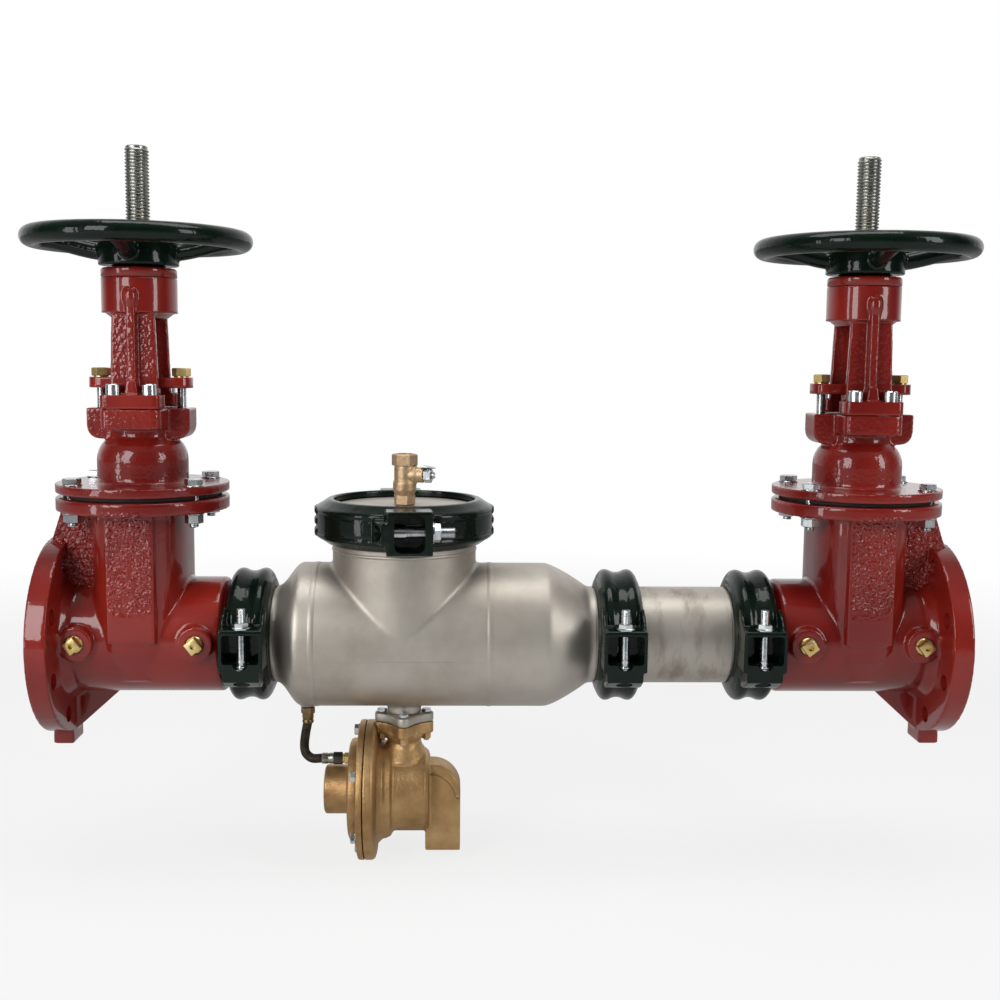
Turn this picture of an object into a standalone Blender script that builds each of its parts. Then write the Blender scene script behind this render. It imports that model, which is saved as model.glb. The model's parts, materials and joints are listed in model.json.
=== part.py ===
# Reduced pressure backflow preventer: two outside screw and yoke gate valves, a stainless body
# with two check valves inside, a spool, grooved couplings and a relief valve below.
# The flow runs along +X, +Z is up, and the origin is the centre of the inlet flange's face.
# Sizes are in metres.
import math

import bmesh
import bpy
from mathutils import Matrix, Vector

# Clearances
gap = 0.0003
joint_gap = 0.003
thread_gap = 0.0004
hole_play = 0.001
overlap = 0.001
hairline = 0.00005
past = 0.010
small_chamfer = 0.001
chamfer = 0.002

# Pipe line
pipe_radius = 0.05715
pipe_wall = 0.0045
valve_length = 0.2335
body_length = 0.423
spool_length = 0.155

# Grooved ends
groove_seat = 0.0159
groove_width = 0.0095
groove_depth = 0.0021

# Gate valve body
flange_to_stem = 0.107
flange_radius = 0.1143
flange_thickness = 0.024
flange_hole_circle = 0.09525
flange_hole_radius = 0.0095
flange_hole_count = 8
foot_half_width = 0.020
foot_drop = 0.0147
foot_setback = 0.0005
waterway_radius = 0.051
neck_radius = 0.0673
neck_end_length = 0.0295
chest_half_width = 0.053
chest_half_depth = 0.073
chest_taper_top = -0.004
chest_taper_bottom = -0.045
chest_taper_scale = 0.72
chest_squareness = 0.72
neck_fillet_height = 0.006
neck_fillet_length = 0.009
neck_shoulder_height = 0.004
neck_shoulder_length = 0.003
web_root = 0.020
web_top_inset = 0.012
web_face_inset = 0.006
gusset_root = 0.012
chest_pad_half_width = 0.027
chest_pad_raise = 0.0025
web_half_thickness = 0.026
gusset_half_thickness = 0.007
gusset_reach = 0.056
boss_radius = 0.020
boss_face = 0.0765
flange_side_boss = -0.0635
pipe_side_boss = 0.071
boss_height = 0.003
plug_radius = 0.0105
plug_square = 0.0150
plug_head_length = 0.010
plug_depth = 0.020
plug_turn = math.radians(38)

# Bonnet joint
bonnet_joint_height = 0.1651
bonnet_flange_radius = 0.098
lower_flange_thickness = 0.0155
upper_flange_thickness = 0.0107
gasket_thickness = 0.0046
gasket_radius = 0.074
gasket_bore = 0.0625
bonnet_bolt_x = 0.068
bonnet_bolt_y = 0.050
bonnet_bolt_radius = 0.0055
bonnet_head_radius = 0.0104
bonnet_head_height = 0.0085
bonnet_nut_height = 0.0110
bonnet_thread_end = 0.0045

# Bonnet
dome_radius = 0.0515
dome_bore = 0.044
# Outside of the dome from its flange up: shares of its radius and of its height
dome_shape = ((1.0, 0.14), (1.0, 0.51), (0.955, 0.75), (0.80, 0.97))
dome_neck_share = 0.70
bore_neck_share = 0.75
bore_shoulder_share = 0.51
bore_top_share = 0.85
dome_fillet = 0.006
box_ear_corner = 0.012
ear_roof_thickness = 0.015
yoke_pad_drop = 0.0224
dome_height = 0.0506
box_height = 0.0354
box_ear_reach = 0.0625
box_ear_half_depth = 0.020
box_pad_half_width = 0.034
box_pad_reach = 0.060
box_pad_corner = 0.010
packing_bore = 0.022
packing_depth = 0.0207

# Gate and stem
gate_radius = 0.058
gate_half_thickness = 0.015
gate_side_gap = 0.0008
pocket_radius = 0.0605
gate_travel = 0.110
gate_lug_half_x = 0.0145
gate_lug_half_y = 0.026
gate_lug_height = 0.030
gate_chamfer = 0.005
gate_lug_root = 0.016
stem_radius = 0.0127
stem_rise = 0.1115
stem_head_half_width = 0.0140
stem_head_half_length = 0.0175
stem_head_height = 0.008
slot_floor = 0.010
slot_half_reach = 0.030

# Gland
gland_rise = 0.0229
gland_thickness = 0.0121
gland_reach = 0.0585
gland_half_depth = 0.0185
gland_stud_x = 0.046
gland_stud_radius = 0.0055
gland_nut_radius = 0.0098
gland_nut_height = 0.0095
gland_corner = 0.012
gland_middle_extra = 0.0065
stud_hole_depth = 0.0254
stud_tip = 0.001

# Yoke
yoke_foot_thickness = 0.0161
yoke_foot_half_width = 0.034
yoke_foot_inner = 0.0265
yoke_screw_x = 0.020
yoke_screw_y = 0.0475
yoke_screw_head_radius = 0.0090
yoke_screw_head_height = 0.0120
arm_foot_half_width = 0.027
arm_top_half_width = 0.0235
arm_inner = 0.0275
arm_thickness = 0.008
arm_rib_half_width = 0.005
arm_rib_raise = 0.009
arm_root = 0.002
arm_climb = 0.012
rib_climb = 0.022
yoke_foot_corner = 0.008
yoke_height = 0.1078
collar_height = 0.0398
collar_radius = 0.0425
yoke_cap_thickness = 0.0105
yoke_cap_inset = 0.0006

# Stem nut and handwheel
stem_nut_radius = 0.024
stem_nut_flange_radius = 0.0355
stem_nut_flange_thickness = 0.014
stem_nut_drive_radius = 0.0215
stem_nut_thread_radius = 0.0185
wheel_radius = 0.1295
wheel_rim_tube = 0.01125
rim_rise = 0.0309
hub_radius = 0.0450
hub_clearance = 0.0030
hub_height = 0.0230
hub_boss_radius = 0.029
spoke_count = 4
spoke_radius = 0.0085
hub_side_height = 0.012
hub_taper = 0.008
spoke_root = 0.012
spoke_root_height = 0.010
spoke_bend = 0.014
spoke_bend_height = 0.013
spoke_end_drop = 0.002
wheel_nut_radius = 0.027
wheel_nut_height = 0.010

# Backflow body
body_radius = 0.0850
body_wall = 0.005
inlet_neck_length = 0.026
inlet_shoulder = (0.006, 0.007, 0.009)
outlet_shoulder = (0.004, 0.013, 0.005, 0.010)
riser_root = 0.002
inlet_reducer_end = 0.0555
outlet_reducer_length = 0.0505
outlet_neck_length = 0.0315
riser_offset = 0.1745
riser_radius = 0.08415
riser_wall = 0.005
cap_joint_height = 0.137
cap_step_thickness = 0.0159
cap_step_radius = 0.0817
cap_raise = 0.0205

# Couplings
pipe_coupling_width = 0.056
pipe_coupling_radius = 0.0780
cap_coupling_width = 0.052
cap_coupling_radius = 0.1053
key_depth = 0.0017
key_play = 0.0006
housing_side_height = 0.0085
seal_width = 0.030
seal_height = 0.0095
rim_drop = 0.0025
rim_place = 0.68
split_reach = 0.2
lug_root = 0.008
lug_corner_share = 0.75
lug_half_width = 0.0165
lug_reach = 0.0245
lug_bolt_offset = 0.0130
upper_lug_start = 0.0150
upper_lug_thickness = 0.0100
lower_lug_start = 0.0100
lower_lug_thickness = 0.0080
coupling_bolt_radius = 0.0058
coupling_nut_radius = 0.0100
coupling_nut_height = 0.0100
coupling_bolt_end = 0.0480
coupling_bolt_head_radius = 0.0100
coupling_bolt_head_height = 0.0070

# Checks
check_one_setback = 0.0080
check_two_setback = 0.0745
seat_ring_thickness = 0.010
seat_ring_bore = 0.042
seat_lip_width = 0.004
seat_lip_height = 0.003
cage_leg_count = 3
cage_leg_radius = 0.062
cage_leg_half = 0.0045
cage_length = 0.058
cage_arm_thickness = 0.008
cage_hub_radius = 0.014
cage_leg_inset = 0.0002
cage_leg_inner = 0.0084
poppet_bevel = 0.004
poppet_radius = 0.050
poppet_thickness = 0.009
poppet_stem_radius = 0.006
poppet_stem_tail = 0.018
check_spring_radius = 0.020
check_spring_wire = 0.0016
check_spring_turns = 4

# Relief valve
relief_height = -0.191
relief_flange_bevel = 0.003
bowl_fillet = 0.003
bowl_shoulder = (0.004, 0.006)
barrel_bevel = 0.002
neck_root = 0.030
elbow_root = 0.004
guide_reach = 0.020
seat_root = 0.005
elbow_inner_setback = 0.0005
elbow_steps = 6
port_bolt_tip = 0.002
cover_bevel = 0.004
cap_bore_depth = 0.006
chamber_depth = 0.004
sense_hole_radius = 0.0034
piston_front = 0.006
relief_port_radius = 0.016
port_wall = 0.0042
port_root = 0.004
port_bore_depth = 0.012
relief_neck_radius = 0.0203
port_flange_top = -0.0950
port_flange_bottom = -0.1060
relief_flange_thickness = 0.0137
port_lobe_circle = 0.0265
port_lobe_radius = 0.0085
port_flange_waist = 0.0035
lobe_half_angle = 75
waist_half_angle = 6
port_bolt_radius = 0.0035
port_nut_radius = 0.0058
port_nut_height = 0.0080
port_head_height = 0.0040
barrel_radius = 0.049
barrel_start_offset = 0.0120
barrel_end_offset = 0.0300
bowl_radius = 0.058
bowl_start_offset = 0.0300
relief_flange_radius = 0.0828
diaphragm_offset = 0.0460
diaphragm_thickness = 0.0014
diaphragm_hole = 0.0106
relief_body_flange_end_offset = 0.0320
cover_offset = 0.0648
cover_radius = 0.0608
cover_flange_offset = 0.0535
cover_cap_offset = 0.0945
cover_cap_radius = 0.029
cover_cap_bore = 0.022
cover_bolt_circle = 0.0735
cover_bolt_count = 6
cover_bolt_head_radius = 0.0066
cover_bolt_head_height = 0.0060
bowl_bore = 0.050
partition_offset = 0.0190
partition_thickness = 0.005
partition_bore = 0.0066
chamber_bore = 0.039
relief_seat_offset = 0.0170
relief_seat_bore = 0.022
elbow_end_offset = 0.0679
elbow_top = -0.1560
elbow_mouth = -0.2598
elbow_half_depth = 0.0225
elbow_wall = 0.0045
elbow_corner = 0.034
relief_stem_radius = 0.0060
relief_plate_radius = 0.036
relief_plate_thickness = 0.005
relief_disc_radius = 0.028
relief_disc_thickness = 0.007
relief_travel = 0.008
relief_spring_radius = 0.015
relief_spring_wire = 0.0013
relief_spring_turns = 3

# Sensing hose
hose_radius = 0.0056
hose_fitting_radius = 0.0085
hose_fitting_length = 0.020
hose_top_offset = 0.1150
hose_port_height = -0.1530
# Middle of the hose between its two nuts: along X from the upper nut, and share of the drop
hose_bend = ((-0.0030, 0.34), (-0.0045, 0.66), (-0.0025, 0.87), (0.0050, 1.0), (0.0160, 1.0))
hose_lower_nut_share = 0.88
hose_sink = 0.002
sense_boss_radius = 0.0100
sense_boss_length = 0.0035
sense_boss_root = 0.006

# Test cock
cock_shank_radius = 0.0085
cock_shank_length = 0.011
cock_hex_radius = 0.0125
cock_hex_height = 0.011
cock_bulb_radius = 0.0128
cock_bulb_height = 0.0150
cock_barrel_radius = 0.0112
cock_barrel_height = 0.0185
cock_head_radius = 0.0145
cock_head_height = 0.0146
cock_bore = 0.004
cock_side_radius = 0.0085
cock_side_reach = 0.024
cock_ball_radius = 0.0070
cock_stem_radius = 0.0045
cock_stem_reach = 0.039
cock_stem_nut_radius = 0.0080
cock_stem_nut_length = 0.0080
cock_turn = math.radians(-14)
cock_stem_share = 0.35
cock_hex_inset = 0.002
cock_side_root = 0.004
cock_bore_turn = 0.1
cock_slot_depth = 0.003
cock_slot_half_width = 0.0008
cock_way_share = 0.8
cock_way_reach = 0.020
# Half of the ball's outline: shares of its radius across and along the stem
ball_shape = ((0.45, -0.89), (0.88, -0.45), (0.98, 0.0))
ball_top_share = 0.85

# Roundness
coarse = 6
small = 8
medium = 12
fine = 16

# Places along the line
body_start = valve_length + joint_gap
body_end = body_start + body_length
riser_x = body_start + riser_offset
run_start = body_start + inlet_reducer_end
neck_start = body_end - outlet_neck_length
run_end = neck_start - outlet_reducer_length
check_one_x = run_start + check_one_setback
check_two_x = run_end - check_two_setback
hose_top_x = riser_x - hose_top_offset
cap_top = cap_joint_height + cap_raise

# Places along the relief valve, each from the riser's axis
barrel_start = riser_x - barrel_start_offset
barrel_end = riser_x + barrel_end_offset
bowl_start = riser_x - bowl_start_offset
diaphragm_x = riser_x - diaphragm_offset
relief_body_flange_end = riser_x - relief_body_flange_end_offset
cover_x = riser_x - cover_offset
cover_flange_x = riser_x - cover_flange_offset
cover_cap_x = riser_x - cover_cap_offset
partition_x = riser_x - partition_offset
relief_seat_x = riser_x + relief_seat_offset
elbow_end = riser_x + elbow_end_offset
spool_start = body_end + joint_gap
spool_end = spool_start + spool_length
line_end = spool_end + joint_gap + valve_length
inlet_stem_x = flange_to_stem
outlet_stem_x = line_end - flange_to_stem
first_joint_x = valve_length + joint_gap / 2
second_joint_x = body_end + joint_gap / 2
third_joint_x = spool_end + joint_gap / 2
body_bore = body_radius - body_wall
bonnet_base = bonnet_joint_height + gasket_thickness
key_start = joint_gap / 2 + groove_seat

# Heights on the gate valves, each from the piece below
bonnet_flange_top = bonnet_base + upper_flange_thickness
box_bottom = bonnet_flange_top + dome_height
box_top = box_bottom + box_height
gland_height = box_top + gland_rise
collar_bottom = box_top + yoke_height
collar_top = collar_bottom + collar_height
hub_bottom = collar_top + yoke_cap_thickness + hub_clearance
hub_top = hub_bottom + hub_height
wheel_rim_height = hub_bottom + rim_rise
stem_top = hub_top + stem_rise


def clear_scene():
    for existing in list(bpy.data.objects):
        bpy.data.objects.remove(existing, do_unlink=True)


clear_scene()
parts = bpy.data.collections.new("reduced_pressure_backflow_preventer")
cutters = bpy.data.collections.new("cutters")
bpy.context.scene.collection.children.link(parts)
bpy.context.scene.collection.children.link(cutters)


def make_material(name, colour, roughness, metallic):
    material = bpy.data.materials.new(name)
    material.use_nodes = True
    shader = material.node_tree.nodes["Principled BSDF"]
    shader.inputs["Base Color"].default_value = (*colour, 1.0)
    shader.inputs["Roughness"].default_value = roughness
    shader.inputs["Metallic"].default_value = metallic
    return material


red_epoxy = make_material("red_epoxy_coating", (0.28, 0.03, 0.015), 0.25, 0.0)
black_enamel = make_material("black_enamel", (0.008, 0.012, 0.011), 0.2, 0.0)
stainless = make_material("stainless_steel", (0.42, 0.40, 0.37), 0.42, 1.0)
bronze = make_material("cast_bronze", (0.36, 0.21, 0.09), 0.45, 1.0)
brass = make_material("brass", (0.60, 0.46, 0.14), 0.25, 1.0)
zinc = make_material("zinc_plated_steel", (0.55, 0.57, 0.58), 0.3, 1.0)
stem_steel = make_material("stem_stainless", (0.38, 0.36, 0.33), 0.3, 1.0)
rubber = make_material("black_rubber", (0.02, 0.02, 0.02), 0.7, 0.0)
spring_steel = make_material("spring_steel", (0.35, 0.35, 0.36), 0.35, 1.0)
braid = make_material("steel_braid", (0.12, 0.11, 0.10), 0.4, 1.0)

# Rotations that lay a shape made along Z along another axis
lay_along = {
    "Z": Matrix.Identity(3),
    "X": Matrix(((0, 0, 1), (0, 1, 0), (-1, 0, 0))),
    "Y": Matrix(((1, 0, 0), (0, 0, 1), (0, -1, 0))),
}
# Rotations that stand a flat outline across an axis
stand_across = {
    "Z": Matrix.Identity(3),
    "X": Matrix(((0, 0, 1), (1, 0, 0), (0, 1, 0))),
    "Y": Matrix(((1, 0, 0), (0, 0, -1), (0, 1, 0))),
}


def frame_empty(name, place, turn=0.0):
    empty = bpy.data.objects.new(name, None)
    empty.location = place
    empty.rotation_euler = (0.0, 0.0, turn)
    empty.empty_display_size = 0.05
    parts.objects.link(empty)
    return empty


def put(name, mesh, material, parent, place, rotation):
    item = bpy.data.objects.new(name, mesh)
    parts.objects.link(item)
    if material is not None:
        mesh.materials.append(material)
    item.parent = parent
    item.location = place
    item.rotation_euler = rotation.to_euler()
    return item


def drum(name, radius, start, end, axis="Z", at=(0.0, 0.0), sides=medium, material=None,
         parent=None, turn=None):
    """A cylinder along an axis, from start to end, turned by half a side unless told otherwise."""
    shape = bmesh.new()
    bmesh.ops.create_cone(shape, cap_ends=True, segments=sides, radius1=radius, radius2=radius,
                          depth=end - start)
    turn = math.pi / sides if turn is None else turn
    bmesh.ops.rotate(shape, cent=(0, 0, 0), matrix=Matrix.Rotation(turn, 3, "Z"), verts=shape.verts)
    mesh = bpy.data.meshes.new(name)
    shape.to_mesh(mesh)
    shape.free()
    middle = (start + end) / 2
    place = {"Z": (at[0], at[1], middle), "X": (middle, at[0], at[1]), "Y": (at[0], middle, at[1])}
    return put(name, mesh, material, parent, place[axis], lay_along[axis])


def block(name, low, high, material=None, parent=None):
    """A box between two corners."""
    shape = bmesh.new()
    bmesh.ops.create_cube(shape, size=1.0)
    size = [high[i] - low[i] for i in range(3)]
    bmesh.ops.scale(shape, vec=size, verts=shape.verts)
    mesh = bpy.data.meshes.new(name)
    shape.to_mesh(mesh)
    shape.free()
    place = [(high[i] + low[i]) / 2 for i in range(3)]
    return put(name, mesh, material, parent, place, Matrix.Identity(3))


def plate(name, outline, start, end, axis="Z", material=None, parent=None):
    """A flat outline, given across the axis, thickened from start to end."""
    curve = bpy.data.curves.new(name + "_outline", "CURVE")
    curve.dimensions = "2D"
    curve.fill_mode = "BOTH"
    curve.extrude = (end - start) / 2
    spline = curve.splines.new("POLY")
    spline.points.add(len(outline) - 1)
    for point, (u, v) in zip(spline.points, outline):
        point.co = (u, v, 0.0, 1.0)
    spline.use_cyclic_u = True
    guide = bpy.data.objects.new(name + "_outline", curve)
    cutters.objects.link(guide)
    mesh = closed_mesh(guide, name)
    middle = (start + end) / 2
    place = {"Z": (0, 0, middle), "X": (middle, 0, 0), "Y": (0, middle, 0)}
    return put(name, mesh, material, parent, place[axis], stand_across[axis])


def closed_mesh(guide, name):
    """The mesh of a curve with its caps welded on; the curve is removed."""
    bpy.context.view_layer.update()
    graph = bpy.context.evaluated_depsgraph_get()
    mesh = bpy.data.meshes.new_from_object(guide.evaluated_get(graph))
    mesh.name = name
    shape = bmesh.new()
    shape.from_mesh(mesh)
    bmesh.ops.remove_doubles(shape, verts=shape.verts, dist=0.00002)
    bmesh.ops.recalc_face_normals(shape, faces=shape.faces)
    shape.to_mesh(mesh)
    shape.free()
    bpy.data.objects.remove(guide, do_unlink=True)
    return mesh


def turned(name, profile, axis="Z", at=(0.0, 0.0), sides=medium, material=None, parent=None,
           lift=0.0, turn=0.0):
    """A turned piece; its profile runs down the outer side as (radius, height) points."""
    mesh = bpy.data.meshes.new(name)
    count = len(profile)
    closed = profile[0][0] > 0.0
    edges = [(i, (i + 1) % count) for i in range(count if closed else count - 1)]
    mesh.from_pydata([(radius, 0.0, height - lift) for radius, height in profile], edges, [])
    place = {"Z": (at[0], at[1], lift), "X": (lift, at[0], at[1]), "Y": (at[0], lift, at[1])}
    rotation = lay_along[axis] @ Matrix.Rotation(turn, 3, "Z")
    item = put(name, mesh, material, parent, place[axis], rotation)
    screw = item.modifiers.new("turn", "SCREW")
    screw.steps = sides
    screw.render_steps = sides
    screw.use_merge_vertices = True
    screw.merge_threshold = 0.00001
    screw.use_smooth_shade = False
    return item


def solid_profile(outer):
    """Outer points from low to high become a profile that ends on the axis."""
    return [(0.0, outer[-1][1])] + outer[::-1] + [(0.0, outer[0][1])]


def hollow_profile(outer, inner):
    """Outer and inner points, both from low to high, become one closed loop."""
    return outer[::-1] + inner


def rod(name, points, radius, material=None, parent=None, resolution=2, cyclic=False):
    """A round bar along points."""
    curve = bpy.data.curves.new(name + "_path", "CURVE")
    curve.dimensions = "3D"
    curve.bevel_depth = radius
    curve.bevel_resolution = resolution
    curve.use_fill_caps = True
    spline = curve.splines.new("POLY")
    spline.points.add(len(points) - 1)
    for point, co in zip(spline.points, points):
        point.co = (*co, 1.0)
    spline.use_cyclic_u = cyclic
    guide = bpy.data.objects.new(name + "_path", curve)
    cutters.objects.link(guide)
    mesh = closed_mesh(guide, name)
    return put(name, mesh, material, parent, (0, 0, 0), Matrix.Identity(3))


def use_tool(target, tool, operation):
    step = target.modifiers.new(tool.name, "BOOLEAN")
    step.operation = operation
    step.solver = "EXACT"
    step.object = tool
    if tool.name in parts.objects:
        parts.objects.unlink(tool)
        cutters.objects.link(tool)
    tool.hide_render = True
    tool.display_type = "WIRE"
    return target


def join(target, *tools):
    for tool in tools:
        use_tool(target, tool, "UNION")
    return target


def cut(target, *tools):
    for tool in tools:
        use_tool(target, tool, "DIFFERENCE")
    return target


def turning_bore(radius, sides):
    """Radius of a bore whose flats clear the corners of the piece that turns in it."""
    return (radius + thread_gap) / math.cos(math.pi / sides)


def arc(centre, radius, first, last, steps):
    """Points on a circle from one angle to another, in degrees."""
    points = []
    for i in range(steps + 1):
        angle = math.radians(first + (last - first) * i / steps)
        points.append((centre[0] + radius * math.cos(angle), centre[1] + radius * math.sin(angle)))
    return points


def rounded_outline(half_x, half_y, corner, steps=2):
    """A rectangle with round corners."""
    outline = []
    for quarter, (sx, sy) in enumerate(((1, 1), (-1, 1), (-1, -1), (1, -1))):
        centre = (sx * (half_x - corner), sy * (half_y - corner))
        outline += arc(centre, corner, 90 * quarter, 90 * quarter + 90, steps)
    return outline


def grooved_end(end, inward):
    """Outer points of a grooved pipe end, from the end inward along the line."""
    radius = pipe_radius
    return [
        (radius, end),
        (radius, end + inward * groove_seat),
        (radius - groove_depth, end + inward * groove_seat),
        (radius - groove_depth, end + inward * (groove_seat + groove_width)),
        (radius, end + inward * (groove_seat + groove_width)),
    ]


def ring_of(count, radius, first=0.0):
    """Places round a circle."""
    for i in range(count):
        angle = math.radians(first + 360.0 * i / count)
        yield i, radius * math.cos(angle), radius * math.sin(angle)


def chest_solid(name, frame):
    """The chest round the gate: a flat-fronted oval that tapers into the pipe below."""
    def ring(scale, height):
        points = []
        for i in range(medium):
            angle = 2 * math.pi * i / medium
            c, s = math.cos(angle), math.sin(angle)
            x = chest_half_width * math.copysign(abs(c) ** chest_squareness, c)
            y = chest_half_depth * math.copysign(abs(s) ** chest_squareness, s)
            points.append((x * scale, y * scale, height))
        return points

    shape = bmesh.new()
    rings = []
    for scale, height in ((chest_taper_scale, chest_taper_bottom), (1.0, chest_taper_top),
                          (1.0, bonnet_joint_height - lower_flange_thickness / 2)):
        rings.append([shape.verts.new(point) for point in ring(scale, height)])
    for lower, upper in zip(rings, rings[1:]):
        for i in range(len(lower)):
            k = (i + 1) % len(lower)
            shape.faces.new((lower[i], lower[k], upper[k], upper[i]))
    shape.faces.new(rings[0][::-1])
    shape.faces.new(rings[-1])
    mesh = bpy.data.meshes.new(name)
    shape.to_mesh(mesh)
    shape.free()
    return put(name, mesh, None, frame, (0, 0, 0), Matrix.Identity(3))


def build_valve_body(side, frame, front):
    """Casting with its end flange at -X, its grooved end at +X and its chest on top."""
    name = side + "_valve_body"
    face = -flange_to_stem
    end = valve_length - flange_to_stem
    shoulder = end - neck_end_length
    outer = [
        (flange_radius, face),
        (flange_radius, face + flange_thickness),
        (neck_radius + neck_fillet_height, face + flange_thickness),
        (neck_radius, face + flange_thickness + neck_fillet_length),
        (neck_radius, shoulder - neck_shoulder_length),
        (neck_radius - neck_shoulder_height, shoulder),
    ] + grooved_end(end, -1)[::-1]
    body = turned(name, solid_profile(outer), "X", sides=fine, material=red_epoxy, parent=frame)

    chest = chest_solid(name + "_chest", frame)
    lower_flange = drum(name + "_lower_flange", bonnet_flange_radius,
                        bonnet_joint_height - lower_flange_thickness, bonnet_joint_height, sides=fine,
                        parent=frame)
    pads = block(name + "_chest_pads",
                 (-chest_pad_half_width, -chest_half_depth - chest_pad_raise, boss_height),
                 (chest_pad_half_width, chest_half_depth + chest_pad_raise,
                  bonnet_joint_height - lower_flange_thickness + overlap), parent=frame)
    web_outline = [
        (-chest_half_width + web_root, bonnet_joint_height - lower_flange_thickness / 2),
        (-bonnet_flange_radius + web_top_inset, bonnet_joint_height - lower_flange_thickness / 2),
        (face + web_face_inset, flange_radius * 0.98),
        (face + gusset_root, neck_radius * 0.8),
        (-chest_half_width + web_root, neck_radius * 0.8),
    ]
    web = plate(name + "_web", web_outline, -web_half_thickness, web_half_thickness, "Y", parent=frame)
    gusset_outline = [
        (face + gusset_root, -flange_radius * 0.985),
        (face + flange_thickness + chamfer, -flange_radius * 0.985),
        (face + flange_thickness + gusset_reach, -neck_radius * 0.95),
        (face + gusset_root, -neck_radius * 0.95),
    ]
    gusset = plate(name + "_gusset", gusset_outline, -gusset_half_thickness, gusset_half_thickness,
                   "Y", parent=frame)
    foot = block(name + "_foot", (face + foot_setback, -foot_half_width, -flange_radius - foot_drop),
                 (face + flange_thickness, foot_half_width, -flange_radius * 0.93), parent=frame)
    join(body, chest, lower_flange, pads, web, gusset, foot)
    for place, reach in (("flange_side", flange_side_boss), ("pipe_side", pipe_side_boss)):
        join(body, drum(f"{name}_{place}_bosses", boss_radius, -boss_face, boss_face, "Y",
                        at=(reach, boss_height), sides=small, parent=frame))

    cut(body, drum(name + "_waterway", waterway_radius, face - past, end + past, "X",
                   sides=fine, parent=frame))
    pocket_half = gate_half_thickness + gate_side_gap
    pocket_outline = arc((0.0, 0.0), pocket_radius, 180, 360, fine // 2 - 1)
    pocket_outline += [(pocket_radius, bonnet_joint_height + past),
                       (-pocket_radius, bonnet_joint_height + past)]
    cut(body, plate(name + "_pocket", pocket_outline, -pocket_half, pocket_half, "X", parent=frame))
    for i, y, z in ring_of(flange_hole_count, flange_hole_circle, 180.0 / flange_hole_count):
        cut(body, drum(f"{name}_flange_hole_{i}", flange_hole_radius, face - past,
                       face + flange_thickness + past, "X", at=(y, z), sides=coarse, parent=frame))
    for i, (sx, sy) in enumerate(((1, 1), (-1, 1), (-1, -1), (1, -1))):
        cut(body, drum(f"{name}_bonnet_hole_{i}", bonnet_bolt_radius + hole_play,
                       bonnet_joint_height - lower_flange_thickness - overlap, bonnet_joint_height + past,
                       at=(sx * bonnet_bolt_x, sy * bonnet_bolt_y), sides=coarse, parent=frame))
    for place, reach in (("flange_side", flange_side_boss), ("pipe_side", pipe_side_boss)):
        low, high = sorted((front * (waterway_radius - past), front * (boss_face + past)))
        cut(body, drum(f"{name}_{place}_tapping", plug_radius + gap, low, high, "Y",
                       at=(reach, boss_height), sides=small, parent=frame))
    return body


def bolt(name, radius, stations, axis="Z", at=(0.0, 0.0), parent=None, material=None):
    """A bolt with its head or nut as one six-sided turned piece; stations are (radius, height)."""
    outer = [(radius, stations[0])]
    for size, low, high in stations[1]:
        outer += [(radius, low), (size, low), (size, high), (radius, high)]
    outer.append((radius, stations[2]))
    outer = [point for i, point in enumerate(outer) if i == 0 or point != outer[i - 1]]
    return turned(name, solid_profile(outer), axis, at=at, sides=6, parent=parent, material=material)


def build_plug(name, reach, frame, front):
    """Square-head pipe plug screwed into a boss from the front."""
    low, high = sorted((front * (boss_face - plug_depth), front * (boss_face + gap + overlap)))
    plug = drum(name, plug_radius, low, high, "Y", at=(reach, boss_height), sides=small,
                material=brass, parent=frame)
    low, high = sorted((front * (boss_face + gap), front * (boss_face + plug_head_length)))
    head = drum(name + "_head", plug_square / math.sqrt(2), low, high, "Y",
                at=(reach, boss_height), sides=4, parent=frame, turn=plug_turn)
    return join(plug, head)


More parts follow.
